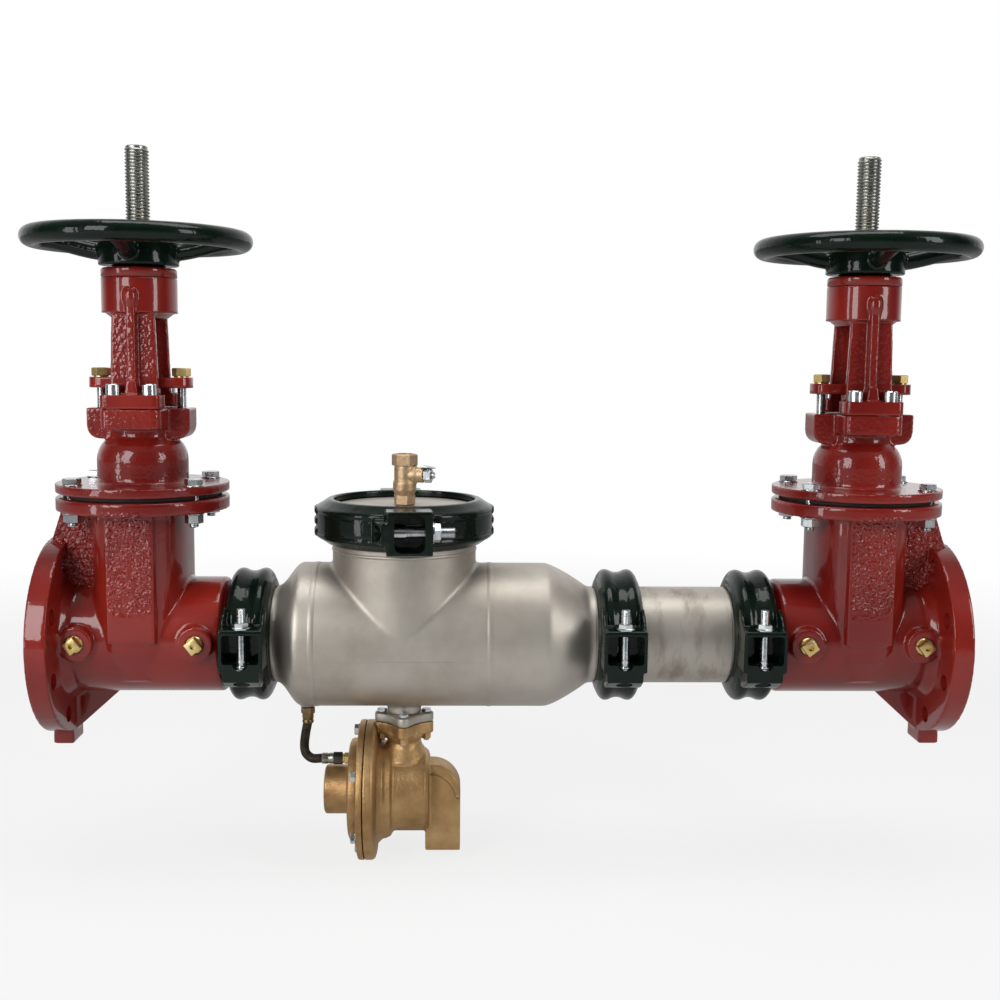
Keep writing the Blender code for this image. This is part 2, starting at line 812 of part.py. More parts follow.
def build_bonnet(side, frame):
    """Dome with its lower flange, packing box, ears and the four bolts that hold it."""
    name = side + "_bonnet"
    outer = [
        (bonnet_flange_radius, bonnet_base),
        (bonnet_flange_radius, bonnet_flange_top),
        (dome_radius + dome_fillet, bonnet_flange_top),
    ]
    outer += [(dome_radius * width, bonnet_flange_top + dome_height * rise) for width, rise in dome_shape]
    outer += [
        (dome_radius * dome_neck_share, box_bottom + chamfer),
        (dome_radius * dome_neck_share, box_top),
    ]
    bonnet = turned(name, solid_profile(outer), sides=fine, material=red_epoxy, parent=frame)
    ears = plate(name + "_ears", rounded_outline(box_ear_reach, box_height / 2, box_ear_corner),
                 -box_ear_half_depth, box_ear_half_depth, "Y", parent=frame)
    ears.location.z = box_bottom + box_height / 2
    ear_roof = block(name + "_ear_roof", (-box_ear_reach, -box_ear_half_depth, box_top - ear_roof_thickness),
                     (box_ear_reach, box_ear_half_depth, box_top - hairline), parent=frame)
    pads = plate(name + "_yoke_pads", rounded_outline(box_pad_half_width, box_pad_reach, box_pad_corner),
                 box_top - yoke_pad_drop, box_top - 2 * hairline, parent=frame)
    join(bonnet, ears, ear_roof, pads)
    for i, (sx, sy) in enumerate(((1, 1), (-1, 1), (-1, -1), (1, -1))):
        at = (sx * bonnet_bolt_x, sy * bonnet_bolt_y)
        nut_top = bonnet_joint_height - lower_flange_thickness - gap
        nut_low = nut_top - bonnet_nut_height
        head_high = bonnet_flange_top + bonnet_head_height
        join(bonnet, bolt(f"{name}_bolt_{i}", bonnet_bolt_radius, (
            nut_low - bonnet_thread_end,
            [(bonnet_head_radius, nut_low, nut_top),
             (bonnet_head_radius, bonnet_flange_top - overlap, head_high)],
            head_high), at=at, parent=frame))
    box_floor = box_top - packing_depth
    bore_shoulder = bonnet_flange_top + dome_height * bore_shoulder_share
    bore_top = bonnet_flange_top + dome_height * bore_top_share
    inside = turned(name + "_inside", solid_profile([
        (dome_bore, bonnet_base - past), (dome_bore, bore_shoulder), (dome_bore * bore_neck_share, bore_top),
        (stem_radius + thread_gap, bore_top), (stem_radius + thread_gap, box_floor),
        (packing_bore, box_floor), (packing_bore, box_top + past)]),
        sides=medium, parent=frame, turn=math.pi / medium)
    cut(bonnet, inside)
    for sx in (-1, 1):
        cut(bonnet, drum(f"{name}_stud_hole_{sx}", gland_stud_radius + gap, box_top - stud_hole_depth,
                         box_top + past, at=(sx * gland_stud_x, 0), sides=6, parent=frame))
    return bonnet


def build_bonnet_gasket(side, frame):
    """Flat ring between the valve body and the bonnet."""
    low, high = bonnet_joint_height + gap, bonnet_base - gap
    return turned(side + "_bonnet_gasket", hollow_profile(
        [(gasket_radius, low), (gasket_radius, high)], [(gasket_bore, low), (gasket_bore, high)]),
        sides=medium, material=rubber, parent=frame)


def build_gate(side, frame):
    """Round gate with a lug on top whose T-slot holds the stem's head; drawn lifted."""
    name = side + "_gate"
    middle = gate_travel
    t = gate_half_thickness
    gate = turned(name, solid_profile([
        (gate_radius - gate_chamfer, -t), (gate_radius, -t + gate_chamfer), (gate_radius, t - gate_chamfer),
        (gate_radius - gate_chamfer, t)]), "X", at=(0, middle), sides=medium, material=bronze, parent=frame)
    lug_top = middle + gate_radius + gate_lug_height
    lug = block(name + "_lug", (-gate_lug_half_x, -gate_lug_half_y, middle + gate_radius - gate_lug_root),
                (gate_lug_half_x, gate_lug_half_y, lug_top), parent=frame)
    slot_low = middle + gate_radius + slot_floor - gap
    slot_high = slot_low + stem_head_height + 2 * gap
    wide = block(name + "_slot", (-slot_half_reach, -stem_head_half_length - gap, slot_low),
                 (slot_half_reach, stem_head_half_length + gap, slot_high), parent=frame)
    narrow = block(name + "_slot_mouth", (-slot_half_reach, -stem_radius - thread_gap, slot_high - overlap),
                   (slot_half_reach, stem_radius + thread_gap, lug_top + past), parent=frame)
    join(gate, lug)
    return cut(gate, wide, narrow)


def build_stem(side, frame):
    """Rising stem with a flat head in the gate's slot."""
    name = side + "_stem"
    head_low = gate_travel + gate_radius + slot_floor
    head_high = head_low + stem_head_height
    stem = turned(name, solid_profile([
        (stem_radius, head_low + overlap), (stem_radius, stem_top - chamfer),
        (stem_radius - chamfer, stem_top)]), material=stem_steel, parent=frame, turn=math.pi / medium)
    head = block(name + "_head", (-stem_head_half_width, -stem_head_half_length, head_low),
                 (stem_head_half_width, stem_head_half_length, head_high), parent=frame)
    return join(stem, head)


def build_gland(side, frame):
    """Packing follower: a sleeve in the packing box under an oval flange."""
    name = side + "_gland"
    sleeve = drum(name, packing_bore - gap, box_top - packing_depth + gap,
                  gland_height + gland_thickness / 2, sides=medium, material=red_epoxy, parent=frame)
    flange = plate(name + "_flange", rounded_outline(gland_reach, gland_half_depth, gland_corner),
                   gland_height, gland_height + gland_thickness, parent=frame)
    middle = drum(name + "_middle", gland_half_depth + gland_middle_extra, gland_height + 2 * hairline,
                  gland_height + gland_thickness - 2 * hairline, sides=medium, parent=frame)
    join(sleeve, flange, middle)
    cut(sleeve, drum(name + "_bore", stem_radius + thread_gap, box_bottom,
                     gland_height + gland_thickness + past, sides=medium, parent=frame))
    for sx in (-1, 1):
        cut(sleeve, drum(f"{name}_hole_{sx}", gland_stud_radius + gap, gland_height - past,
                         gland_height + gland_thickness + past, at=(sx * gland_stud_x, 0),
                         sides=6, parent=frame))
    return sleeve


def build_gland_bolt(name, reach, frame):
    """Stud in the bonnet's ear with its brass nut on the gland."""
    nut_low = gland_height + gland_thickness + gap
    return bolt(name, gland_stud_radius, (
        box_top - stud_hole_depth + gap,
        [(gland_nut_radius, nut_low, nut_low + gland_nut_height)],
        nut_low + gland_nut_height + stud_tip), at=(reach, 0), material=zinc, parent=frame)


def build_yoke(side, frame):
    """Two ribbed arms on bolted feet, front and back, that carry the collar."""
    name = side + "_yoke"
    foot_low = box_top + gap
    foot_high = foot_low + yoke_foot_thickness
    yoke = turned(name, solid_profile([
        (collar_radius - small_chamfer, collar_bottom), (collar_radius, collar_bottom + small_chamfer),
        (collar_radius, collar_top)]), sides=medium, material=red_epoxy, parent=frame)
    arm_outline = [
        (-arm_foot_half_width, foot_high - arm_root), (arm_foot_half_width, foot_high - arm_root),
        (arm_top_half_width, collar_bottom + arm_climb), (-arm_top_half_width, collar_bottom + arm_climb)]
    rib_outline = [
        (-arm_rib_half_width, foot_high - arm_root), (arm_rib_half_width, foot_high - arm_root),
        (arm_rib_half_width, collar_bottom + rib_climb), (-arm_rib_half_width, collar_bottom + rib_climb)]
    for sy, place in ((-1, "front"), (1, "back")):
        near, far = sorted((sy * yoke_foot_inner, sy * box_pad_reach))
        foot_outline = rounded_outline(yoke_foot_half_width, (far - near) / 2, yoke_foot_corner)
        foot = plate(f"{name}_{place}_foot", foot_outline, foot_low, foot_high, parent=frame)
        foot.location.y = (near + far) / 2
        near, far = sorted((sy * arm_inner, sy * (arm_inner + arm_thickness)))
        arm = plate(f"{name}_{place}_arm", arm_outline, near, far, "Y", parent=frame)
        near, far = sorted((sy * (arm_inner + arm_root), sy * (arm_inner + arm_thickness + arm_rib_raise)))
        rib = plate(f"{name}_{place}_rib", rib_outline, near, far, "Y", parent=frame)
        join(yoke, foot, arm, rib)
        for sx in (-1, 1):
            at = (sx * yoke_screw_x, sy * yoke_screw_y)
            join(yoke, drum(f"{name}_{place}_screw_head_{sx}", yoke_screw_head_radius, foot_high - overlap,
                            foot_high + yoke_screw_head_height, at=at, sides=coarse, parent=frame))
    nut_low = collar_top - gap - stem_nut_flange_thickness
    cut(yoke, drum(name + "_nut_recess", turning_bore(stem_nut_flange_radius, medium), nut_low - gap,
                   collar_top + past, sides=medium, parent=frame, turn=0.0),
        drum(name + "_nut_bore", turning_bore(stem_nut_radius, medium), collar_bottom - past, collar_top,
             sides=medium, parent=frame, turn=0.0))
    return yoke


def build_yoke_cap(side, frame):
    """Ring that holds the stem nut down in the collar."""
    low = collar_top + gap
    high = low + yoke_cap_thickness
    return turned(side + "_yoke_cap", hollow_profile(
        [(collar_radius - yoke_cap_inset, low), (collar_radius - yoke_cap_inset, high)],
        [(turning_bore(stem_nut_radius, medium), low), (turning_bore(stem_nut_radius, medium), high)]),
        sides=medium, material=red_epoxy, parent=frame)


def build_stem_nut(side, frame):
    """Bronze nut in the collar, with a six-sided drive for the wheel and a thread on top."""
    name = side + "_stem_nut"
    flange_high = collar_top - gap
    drive_high = hub_top - small_chamfer
    nut_top = hub_top + wheel_nut_height + small_chamfer
    nut = turned(name, solid_profile([
        (stem_nut_radius, collar_bottom + small_chamfer),
        (stem_nut_radius, flange_high - stem_nut_flange_thickness),
        (stem_nut_flange_radius, flange_high - stem_nut_flange_thickness),
        (stem_nut_flange_radius, flange_high), (stem_nut_thread_radius, flange_high),
        (stem_nut_thread_radius, nut_top)]), sides=medium, material=bronze, parent=frame,
        lift=collar_bottom)
    drive = drum(name + "_drive", stem_nut_drive_radius, flange_high - overlap, drive_high, sides=6,
                 parent=frame)
    join(nut, drive)
    return cut(nut, drum(name + "_bore", turning_bore(stem_radius, medium), collar_bottom - past,
                         nut_top + past, sides=medium, parent=frame))


def build_handwheel(side, frame):
    """Hub, four rising spokes and a round rim."""
    name = side + "_handwheel"
    rim_centre = wheel_radius - wheel_rim_tube
    rim_sides = 8
    profile = []
    for i in range(rim_sides):
        angle = -2 * math.pi * (i + 0.5) / rim_sides
        profile.append((rim_centre + wheel_rim_tube * math.cos(angle),
                        wheel_rim_height + wheel_rim_tube * math.sin(angle)))
    wheel = turned(name, profile, sides=fine, material=black_enamel, parent=frame,
                   lift=wheel_rim_height)
    hub = turned(name + "_hub", solid_profile([
        (hub_boss_radius, collar_top + yoke_cap_thickness + 2 * gap), (hub_boss_radius, hub_bottom),
        (hub_radius, hub_bottom), (hub_radius, hub_bottom + hub_side_height),
        (hub_radius - hub_taper, hub_top)]),
        sides=medium, parent=frame)
    for i, x, y in ring_of(spoke_count, 1.0):
        spoke = rod(f"{name}_spoke_{i}", [
            (x * (hub_radius - spoke_root), y * (hub_radius - spoke_root), hub_bottom + spoke_root_height),
            (x * (hub_radius + spoke_bend), y * (hub_radius + spoke_bend), hub_bottom + spoke_bend_height),
            (x * rim_centre, y * rim_centre, wheel_rim_height - spoke_end_drop)],
            spoke_radius, parent=frame, resolution=1)
        join(wheel, spoke)
    join(wheel, hub)
    return cut(wheel, drum(name + "_drive_hole", stem_nut_drive_radius + gap, collar_top, hub_top + past,
                           sides=6, parent=frame))


def build_wheel_nut(side, frame):
    """Nut that holds the wheel on the stem nut."""
    name = side + "_wheel_nut"
    nut = drum(name, wheel_nut_radius, hub_top + gap, hub_top + gap + wheel_nut_height, sides=6,
               material=bronze, parent=frame)
    return cut(nut, drum(name + "_bore", stem_nut_thread_radius + gap, hub_top - past,
                         hub_top + wheel_nut_height + past,
                         sides=medium, parent=frame, turn=0.0))


def build_gate_valve(side, stem_x, turn, front):
    """One outside screw and yoke gate valve, drawn open, in a frame on its stem's axis."""
    frame = frame_empty(side + "_valve_frame", (stem_x, 0, 0), turn)
    build_valve_body(side, frame, front)
    build_plug(side + "_plug_flange_side", flange_side_boss, frame, front)
    build_plug(side + "_plug_pipe_side", pipe_side_boss, frame, front)
    build_bonnet(side, frame)
    build_bonnet_gasket(side, frame)
    build_gate(side, frame)
    build_stem(side, frame)
    build_gland(side, frame)
    build_gland_bolt(side + "_gland_bolt_a", -gland_stud_x, frame)
    build_gland_bolt(side + "_gland_bolt_b", gland_stud_x, frame)
    build_yoke(side, frame)
    build_yoke_cap(side, frame)
    build_stem_nut(side, frame)
    build_handwheel(side, frame)
    build_wheel_nut(side, frame)


def build_backflow_body():
    """Stainless tee: two reducers, a full-size run, a riser and the relief port below."""
    name = "backflow_body"
    outer = grooved_end(body_start, 1) + [
        (pipe_radius, body_start + inlet_neck_length),
        (pipe_radius + inlet_shoulder[0], body_start + inlet_neck_length + inlet_shoulder[1]),
        (body_radius - inlet_shoulder[0], run_start - inlet_shoulder[2]),
        (body_radius, run_start),
        (body_radius, run_end),
        (body_radius - outlet_shoulder[0], run_end + outlet_shoulder[1]),
        (pipe_radius + outlet_shoulder[2], neck_start - outlet_shoulder[3]),
        (pipe_radius, neck_start),
    ] + grooved_end(body_end, -1)[::-1]
    body = turned(name, solid_profile(outer), "X", sides=fine, material=stainless)
    riser_top = cap_joint_height - joint_gap / 2
    riser = turned(name + "_riser", solid_profile([
        (riser_radius, riser_root),
        (riser_radius, riser_top - groove_seat - groove_width),
        (riser_radius - groove_depth, riser_top - groove_seat - groove_width),
        (riser_radius - groove_depth, riser_top - groove_seat),
        (riser_radius, riser_top - groove_seat),
        (riser_radius, riser_top)]), at=(riser_x, 0), sides=fine)
    port = drum(name + "_port", relief_port_radius + port_wall, port_flange_top - overlap,
                -body_radius + port_root, at=(riser_x, 0), sides=small)
    port_flange = plate(name + "_port_flange", lobed_outline(), port_flange_bottom, port_flange_top)
    port_flange.location.x = riser_x
    sense_boss = drum(name + "_sense_boss", sense_boss_radius, -body_radius - sense_boss_length,
                      -body_radius + sense_boss_root, at=(hose_top_x, 0), sides=coarse)
    join(body, riser, port, port_flange, sense_boss)

    bore_profile = [
        (pipe_radius - pipe_wall, body_start - past),
        (pipe_radius - pipe_wall, body_start + inlet_neck_length + chamfer),
        (body_bore, run_start),
        (body_bore, run_end),
        (pipe_radius - pipe_wall, neck_start),
        (pipe_radius - pipe_wall, body_end + past)]
    bore = turned(name + "_bore", solid_profile(bore_profile), "X", sides=medium, turn=math.pi / medium)
    riser_bore = drum(name + "_riser_bore", riser_radius - riser_wall, 0.0, riser_top + past,
                      at=(riser_x, 0), sides=fine)
    port_bore = drum(name + "_port_bore", relief_port_radius, port_flange_bottom - past,
                     -body_bore + port_bore_depth, at=(riser_x, 0), sides=small)
    cut(body, bore, riser_bore, port_bore)
    for i, x, y in ring_of(4, port_lobe_circle):
        cut(body, drum(f"{name}_port_hole_{i}", port_bolt_radius + hole_play, port_flange_bottom - past,
                       port_flange_top + past, at=(riser_x + x, y), sides=6))
    return body


def lobed_outline():
    """Round flange with four lobes for its bolts."""
    outline = []
    for quarter in range(4):
        middle = 90 * quarter
        angle = math.radians(middle)
        centre = (port_lobe_circle * math.cos(angle), port_lobe_circle * math.sin(angle))
        outline += arc(centre, port_lobe_radius, middle - lobe_half_angle, middle + lobe_half_angle, 3)
        outline += arc((0.0, 0.0), relief_neck_radius + port_flange_waist,
                       middle + 45 - waist_half_angle, middle + 45 + waist_half_angle, 1)
    return outline


def build_access_cap():
    """Stepped disc in the riser's coupling, tapped for the test cock."""
    low = cap_joint_height + joint_gap / 2
    step = low + cap_step_thickness
    cap = turned("access_cap", solid_profile([
        (riser_radius, low), (riser_radius, step), (cap_step_radius, step),
        (cap_step_radius, cap_top - small_chamfer), (cap_step_radius - small_chamfer, cap_top)]),
        at=(riser_x, 0), sides=fine, material=stainless)
    return cut(cap, drum("access_cap_tapping", cock_shank_radius + gap,
                         cap_top - cock_shank_length - chamfer, cap_top + past, at=(riser_x, 0),
                         sides=medium, turn=cock_turn))


def seal_ring(name, pipe, middle, axis, at):
    """Rubber ring over a pipe joint, inside the coupling."""
    low, high = middle - seal_width / 2, middle + seal_width / 2
    return turned(name, hollow_profile(
        [(pipe + seal_height, low), (pipe + seal_height, high)],
        [(pipe + gap, low), (pipe + seal_height / 2, middle), (pipe + gap, high)]),
        axis, at=at, sides=fine, material=rubber)


def coupling_profile(pipe, middle, width, radius):
    """Section of a coupling housing: sloping shoulders, two rims, and keys in the grooves."""
    half = width / 2
    key_bore = pipe - key_depth
    seal_top = pipe + seal_height + 2 * gap
    seal_half = seal_width / 2 + 2 * gap
    outer = [
        (pipe + housing_side_height, middle - half),
        (radius, middle - half * rim_place),
        (radius - rim_drop, middle),
        (radius, middle + half * rim_place),
        (pipe + housing_side_height, middle + half)]
    key_low = key_start + key_play
    key_high = key_start + groove_width - key_play
    inner = [
        (key_bore, middle - key_high), (key_bore, middle - key_low),
        (seal_top, middle - seal_half), (seal_top, middle + seal_half),
        (key_bore, middle + key_low), (key_bore, middle + key_high)]
    return hollow_profile(outer, inner)


def lug_outline(radius, side):
    """Outline of a bolt lug across the coupling, round at its outer end."""
    near = radius - lug_root
    far = radius + lug_reach
    corner = lug_half_width * lug_corner_share
    outline = [(-lug_half_width, side * near), (lug_half_width, side * near)]
    if side > 0:
        outline += arc((lug_half_width - corner, far - corner), corner, 0, 90, 2)
        outline += arc((-lug_half_width + corner, far - corner), corner, 90, 180, 2)
    else:
        outline += arc((lug_half_width - corner, -far + corner), corner, 0, -90, 2)
        outline += arc((-lug_half_width + corner, -far + corner), corner, -90, -180, 2)
    return outline


def build_pipe_coupling(number, middle):
    """Two housing halves round a pipe joint; the upper one carries the bolts and nuts."""
    name = f"coupling_{number}"
    profile = coupling_profile(pipe_radius, middle, pipe_coupling_width, pipe_coupling_radius)
    reach = pipe_coupling_radius + lug_bolt_offset
    halves = {}
    for part, sz in (("upper", 1), ("lower", -1)):
        half = turned(f"{name}_{part}", profile, "X", sides=fine, material=black_enamel)
        cut_low, cut_high = sorted((-sz * split_reach, sz * gap / 2))
        cut(half, block(f"{name}_{part}_split", (middle - pipe_coupling_width, -split_reach, cut_low),
                        (middle + pipe_coupling_width, split_reach, cut_high)))
        start = upper_lug_start if sz > 0 else lower_lug_start
        thick = upper_lug_thickness if sz > 0 else lower_lug_thickness
        low, high = sorted((sz * start, sz * (start + thick)))
        for sy in (-1, 1):
            lug = plate(f"{name}_{part}_lug_{sy}", lug_outline(pipe_coupling_radius, sy), low, high)
            lug.location.x = middle
            join(half, lug)
            if sz < 0:
                cut(half, drum(f"{name}_{part}_hole_{sy}", coupling_bolt_radius + hole_play, low - past,
                               high + past, at=(middle, sy * reach), sides=coarse))
        halves[part] = half
    for sy in (-1, 1):
        at = (middle, sy * reach)
        head_high = -lower_lug_start - lower_lug_thickness - gap
        head_low = head_high - coupling_bolt_head_height
        lug_high = upper_lug_start + upper_lug_thickness
        join(halves["upper"], bolt(f"{name}_bolt_{sy}", coupling_bolt_radius, (
            head_low, [(coupling_bolt_head_radius, head_low, head_high),
                       (coupling_nut_radius, lug_high - overlap, lug_high + coupling_nut_height)],
            coupling_bolt_end), at=at))
    seal_ring(f"{name}_seal", pipe_radius, middle, "X", (0.0, 0.0))


def build_cap_coupling():
    """Two housing halves round the riser and its cap; the left one carries the bolts and nuts."""
    name = "cap_coupling"
    profile = coupling_profile(riser_radius, cap_joint_height, cap_coupling_width, cap_coupling_radius)
    reach = cap_coupling_radius + lug_bolt_offset
    lug_half_gap = (upper_lug_start + lower_lug_start) / 2
    halves = {}
    for part, sx in (("left", -1), ("right", 1)):
        half = turned(f"{name}_{part}", profile, "Z", at=(riser_x, 0), sides=fine, material=black_enamel)
        cut_low, cut_high = sorted((riser_x - sx * split_reach, riser_x + sx * gap / 2))
        cut(half, block(f"{name}_{part}_split",
                        (cut_low, -split_reach, cap_joint_height - cap_coupling_width),
                        (cut_high, split_reach, cap_joint_height + cap_coupling_width)))
        lug_out = lug_half_gap + upper_lug_thickness
        low, high = sorted((riser_x + sx * lug_half_gap, riser_x + sx * lug_out))
        for sy in (-1, 1):
            outline = [(y, x) for x, y in lug_outline(cap_coupling_radius, sy)]
            lug = plate(f"{name}_{part}_lug_{sy}", outline, low, high, "X")
            lug.location.z = cap_joint_height
            join(half, lug)
            if sx > 0:
                cut(half, drum(f"{name}_{part}_hole_{sy}", coupling_bolt_radius + hole_play, low - past,
                               high + past, "X", at=(sy * reach, cap_joint_height), sides=coarse))
        halves[part] = half
    for sy in (-1, 1):
        at = (sy * reach, cap_joint_height)
        lug_out = lug_half_gap + upper_lug_thickness
        head_low = riser_x - lug_out - coupling_bolt_head_height
        nut_low = riser_x + lug_out + gap
        join(halves["left"], bolt(f"{name}_bolt_{sy}", coupling_bolt_radius, (
            head_low, [(coupling_bolt_head_radius, head_low, riser_x - lug_out + overlap),
                       (coupling_nut_radius, nut_low, nut_low + coupling_nut_height)],
            riser_x + coupling_bolt_end), "X", at=at))
    seal_ring("cap_seal", riser_radius, cap_joint_height, "Z", (riser_x, 0.0))


def build_spool():
    """Short grooved pipe between the body and the outlet valve."""
    bore = pipe_radius - pipe_wall
    outer = grooved_end(spool_start, 1) + grooved_end(spool_end, -1)[::-1]
    return turned("spool", hollow_profile(outer, [(bore, spool_start), (bore, spool_end)]), "X",
                  sides=fine, material=stainless)


def build_check(name, start):
    """Spring-loaded check: a seat ring with a cage, a poppet on a guided stem, and its spring."""
    lip = start + seat_ring_thickness + seat_lip_height
    seat = turned(name + "_seat", hollow_profile(
        [(body_bore - gap, start), (body_bore - gap, start + seat_ring_thickness),
         (seat_ring_bore + seat_lip_width, start + seat_ring_thickness),
         (seat_ring_bore + seat_lip_width, lip)],
        [(seat_ring_bore, start), (seat_ring_bore, lip)]), "X", sides=medium, material=bronze,
        turn=math.pi / medium)
    arm_start = start + seat_ring_thickness + cage_length
    arm_end = arm_start + cage_arm_thickness
    hub = drum(name + "_hub", cage_hub_radius, arm_start, arm_end, "X", sides=small)
    join(seat, hub)
    leg_outline = [
        (start + seat_ring_thickness / 2, cage_leg_radius - cage_leg_half),
        (arm_start + cage_leg_inset, cage_leg_radius - cage_leg_half),
        (arm_start + cage_leg_inset, cage_leg_inner), (arm_end - cage_leg_inset, cage_leg_inner),
        (arm_end - cage_leg_inset, cage_leg_radius + cage_leg_half),
        (start + seat_ring_thickness / 2, cage_leg_radius + cage_leg_half)]
    for i in range(cage_leg_count):
        leg = plate(f"{name}_leg_{i}", leg_outline, -cage_leg_half, cage_leg_half, "Y")
        leg.rotation_euler.rotate_axis("X", 2 * math.pi * i / cage_leg_count)
        join(seat, leg)
    cut(seat, drum(name + "_guide", poppet_stem_radius + thread_gap, arm_start - past, arm_end + past,
                   "X", sides=medium, turn=0.0))
    disc_low = lip + gap
    disc_high = disc_low + poppet_thickness
    stem_end = arm_end + poppet_stem_tail
    turned(name + "_poppet", solid_profile([
        (poppet_radius, disc_low), (poppet_radius, disc_high - chamfer),
        (poppet_radius - poppet_bevel, disc_high), (poppet_stem_radius, disc_high),
        (poppet_stem_radius, stem_end)]), "X", sides=medium, material=bronze, lift=disc_low)
    coil(name + "_spring", check_spring_radius, check_spring_wire, check_spring_turns,
         disc_high + gap, arm_start - gap, (0.0, 0.0))


def coil(name, radius, wire, turns, start, end, at):
    """Compression spring along X between two faces."""
    steps = 6 * turns
    low, high = start + wire, end - wire
    points = []
    for i in range(steps + 1):
        angle = 2 * math.pi * turns * i / steps
        points.append((low + (high - low) * i / steps,
                       at[0] + radius * math.cos(angle), at[1] + radius * math.sin(angle)))
    return rod(name, points, wire, material=spring_steel, resolution=0)


def build_relief_body():
    """Bronze housing: diaphragm flange, bowl, barrel with the inlet neck, and discharge elbow."""
    name = "relief_body"
    middle = (0.0, relief_height)
    body = turned(name, solid_profile([
        (relief_flange_radius, diaphragm_x + diaphragm_thickness + gap),
        (relief_flange_radius, relief_body_flange_end - relief_flange_bevel),
        (relief_flange_radius - relief_flange_bevel, relief_body_flange_end),
        (bowl_radius + bowl_fillet, bowl_start),
        (bowl_radius, bowl_start + bowl_shoulder[0]),
        (bowl_radius, barrel_start - bowl_shoulder[1]),
        (barrel_radius, barrel_start),
        (barrel_radius, barrel_end - barrel_bevel),
        (barrel_radius - barrel_bevel, barrel_end)]), "X", at=middle, sides=fine, material=bronze)
    neck = drum(name + "_neck", relief_neck_radius, relief_height + neck_root,
                port_flange_bottom - gap - chamfer, at=(riser_x, 0), sides=medium)
    flange_high = port_flange_bottom - gap
    flange = plate(name + "_port_flange", lobed_outline(), flange_high - relief_flange_thickness,
                   flange_high)
    flange.location.x = riser_x
    elbow_start = barrel_end - elbow_root
    outline = [(elbow_start, elbow_mouth), (elbow_end, elbow_mouth)]
    outline += arc((elbow_end - elbow_corner, elbow_top - elbow_corner), elbow_corner, 0, 90, elbow_steps)
    outline += [(elbow_start, elbow_top)]
    elbow = plate(name + "_elbow", outline, -elbow_half_depth, elbow_half_depth, "Y")
    join(body, neck, flange, elbow)

    bowl = drum(name + "_bowl_bore", bowl_bore, diaphragm_x - past, partition_x, "X", at=middle,
                sides=medium)
    chamber = drum(name + "_chamber", chamber_bore, partition_x + partition_thickness, relief_seat_x, "X",
                   at=middle, sides=medium)
    guide = drum(name + "_guide", partition_bore, partition_x - past, partition_x + guide_reach, "X",
                 at=middle, sides=medium, turn=0.0)
    seat = drum(name + "_seat", relief_seat_bore, relief_seat_x - seat_root,
                elbow_start + elbow_wall + chamfer, "X", at=middle, sides=medium)
    inlet = drum(name + "_inlet", relief_port_radius, relief_height + past, port_flange_bottom + past,
                 at=(riser_x, 0), sides=small)
    inner_start = barrel_end + elbow_inner_setback
    inner_corner = elbow_corner - elbow_wall
    inside = [(inner_start, elbow_mouth - past), (elbow_end - elbow_wall, elbow_mouth - past)]
    inside += arc((elbow_end - elbow_corner, elbow_top - elbow_corner), inner_corner, 0, 90, elbow_steps)
    inside += [(inner_start, elbow_top - elbow_wall)]
    passage = plate(name + "_passage", inside, -elbow_half_depth + elbow_wall,
                    elbow_half_depth - elbow_wall, "Y")
    cut(body, bowl, chamber, guide, seat, inlet, passage)
    for i, x, y in ring_of(4, port_lobe_circle):
        at = (riser_x + x, y)
        under = flange_high - relief_flange_thickness
        head_low = port_flange_top + gap
        join(body, bolt(f"{name}_bolt_{i}", port_bolt_radius, (
            under - port_nut_height - port_bolt_tip,
            [(port_nut_radius, under - port_nut_height, under + overlap),
             (port_nut_radius, head_low, head_low + port_head_height)],
            head_low + port_head_height), at=at))
    return body


def build_relief_cover():
    """Bronze cover that clamps the diaphragm, with its cap and bolts."""
    name = "relief_cover"
    middle = (0.0, relief_height)
    cover = turned(name, solid_profile([
        (cover_cap_radius - chamfer, cover_cap_x), (cover_cap_radius, cover_cap_x + cover_bevel),
        (cover_cap_radius, cover_x), (cover_radius - cover_bevel, cover_x),
        (cover_radius, cover_x + cover_bevel),
        (cover_radius, cover_flange_x), (relief_flange_radius, cover_flange_x),
        (relief_flange_radius, diaphragm_x - gap)]), "X", at=middle, sides=fine, material=bronze)
    for i, y, z in ring_of(cover_bolt_count, cover_bolt_circle, 90.0):
        head = drum(f"{name}_bolt_{i}", cover_bolt_head_radius, cover_flange_x - cover_bolt_head_height,
                    cover_flange_x + overlap, "X", at=(y, relief_height + z), sides=6)
        join(cover, head)
    chamber = drum(name + "_chamber", bowl_bore, cover_flange_x - chamber_depth, diaphragm_x + past, "X",
                   at=middle, sides=medium)
    cap_bore = drum(name + "_cap_bore", cover_cap_bore, cover_cap_x + cap_bore_depth, cover_flange_x, "X",
                    at=middle, sides=medium)
    sense_hole = drum(name + "_sense_hole", sense_hole_radius, cover_x - past, cover_flange_x, "X",
                      at=(0.0, hose_port_height), sides=coarse)
    return cut(cover, chamber, cap_bore, sense_hole)


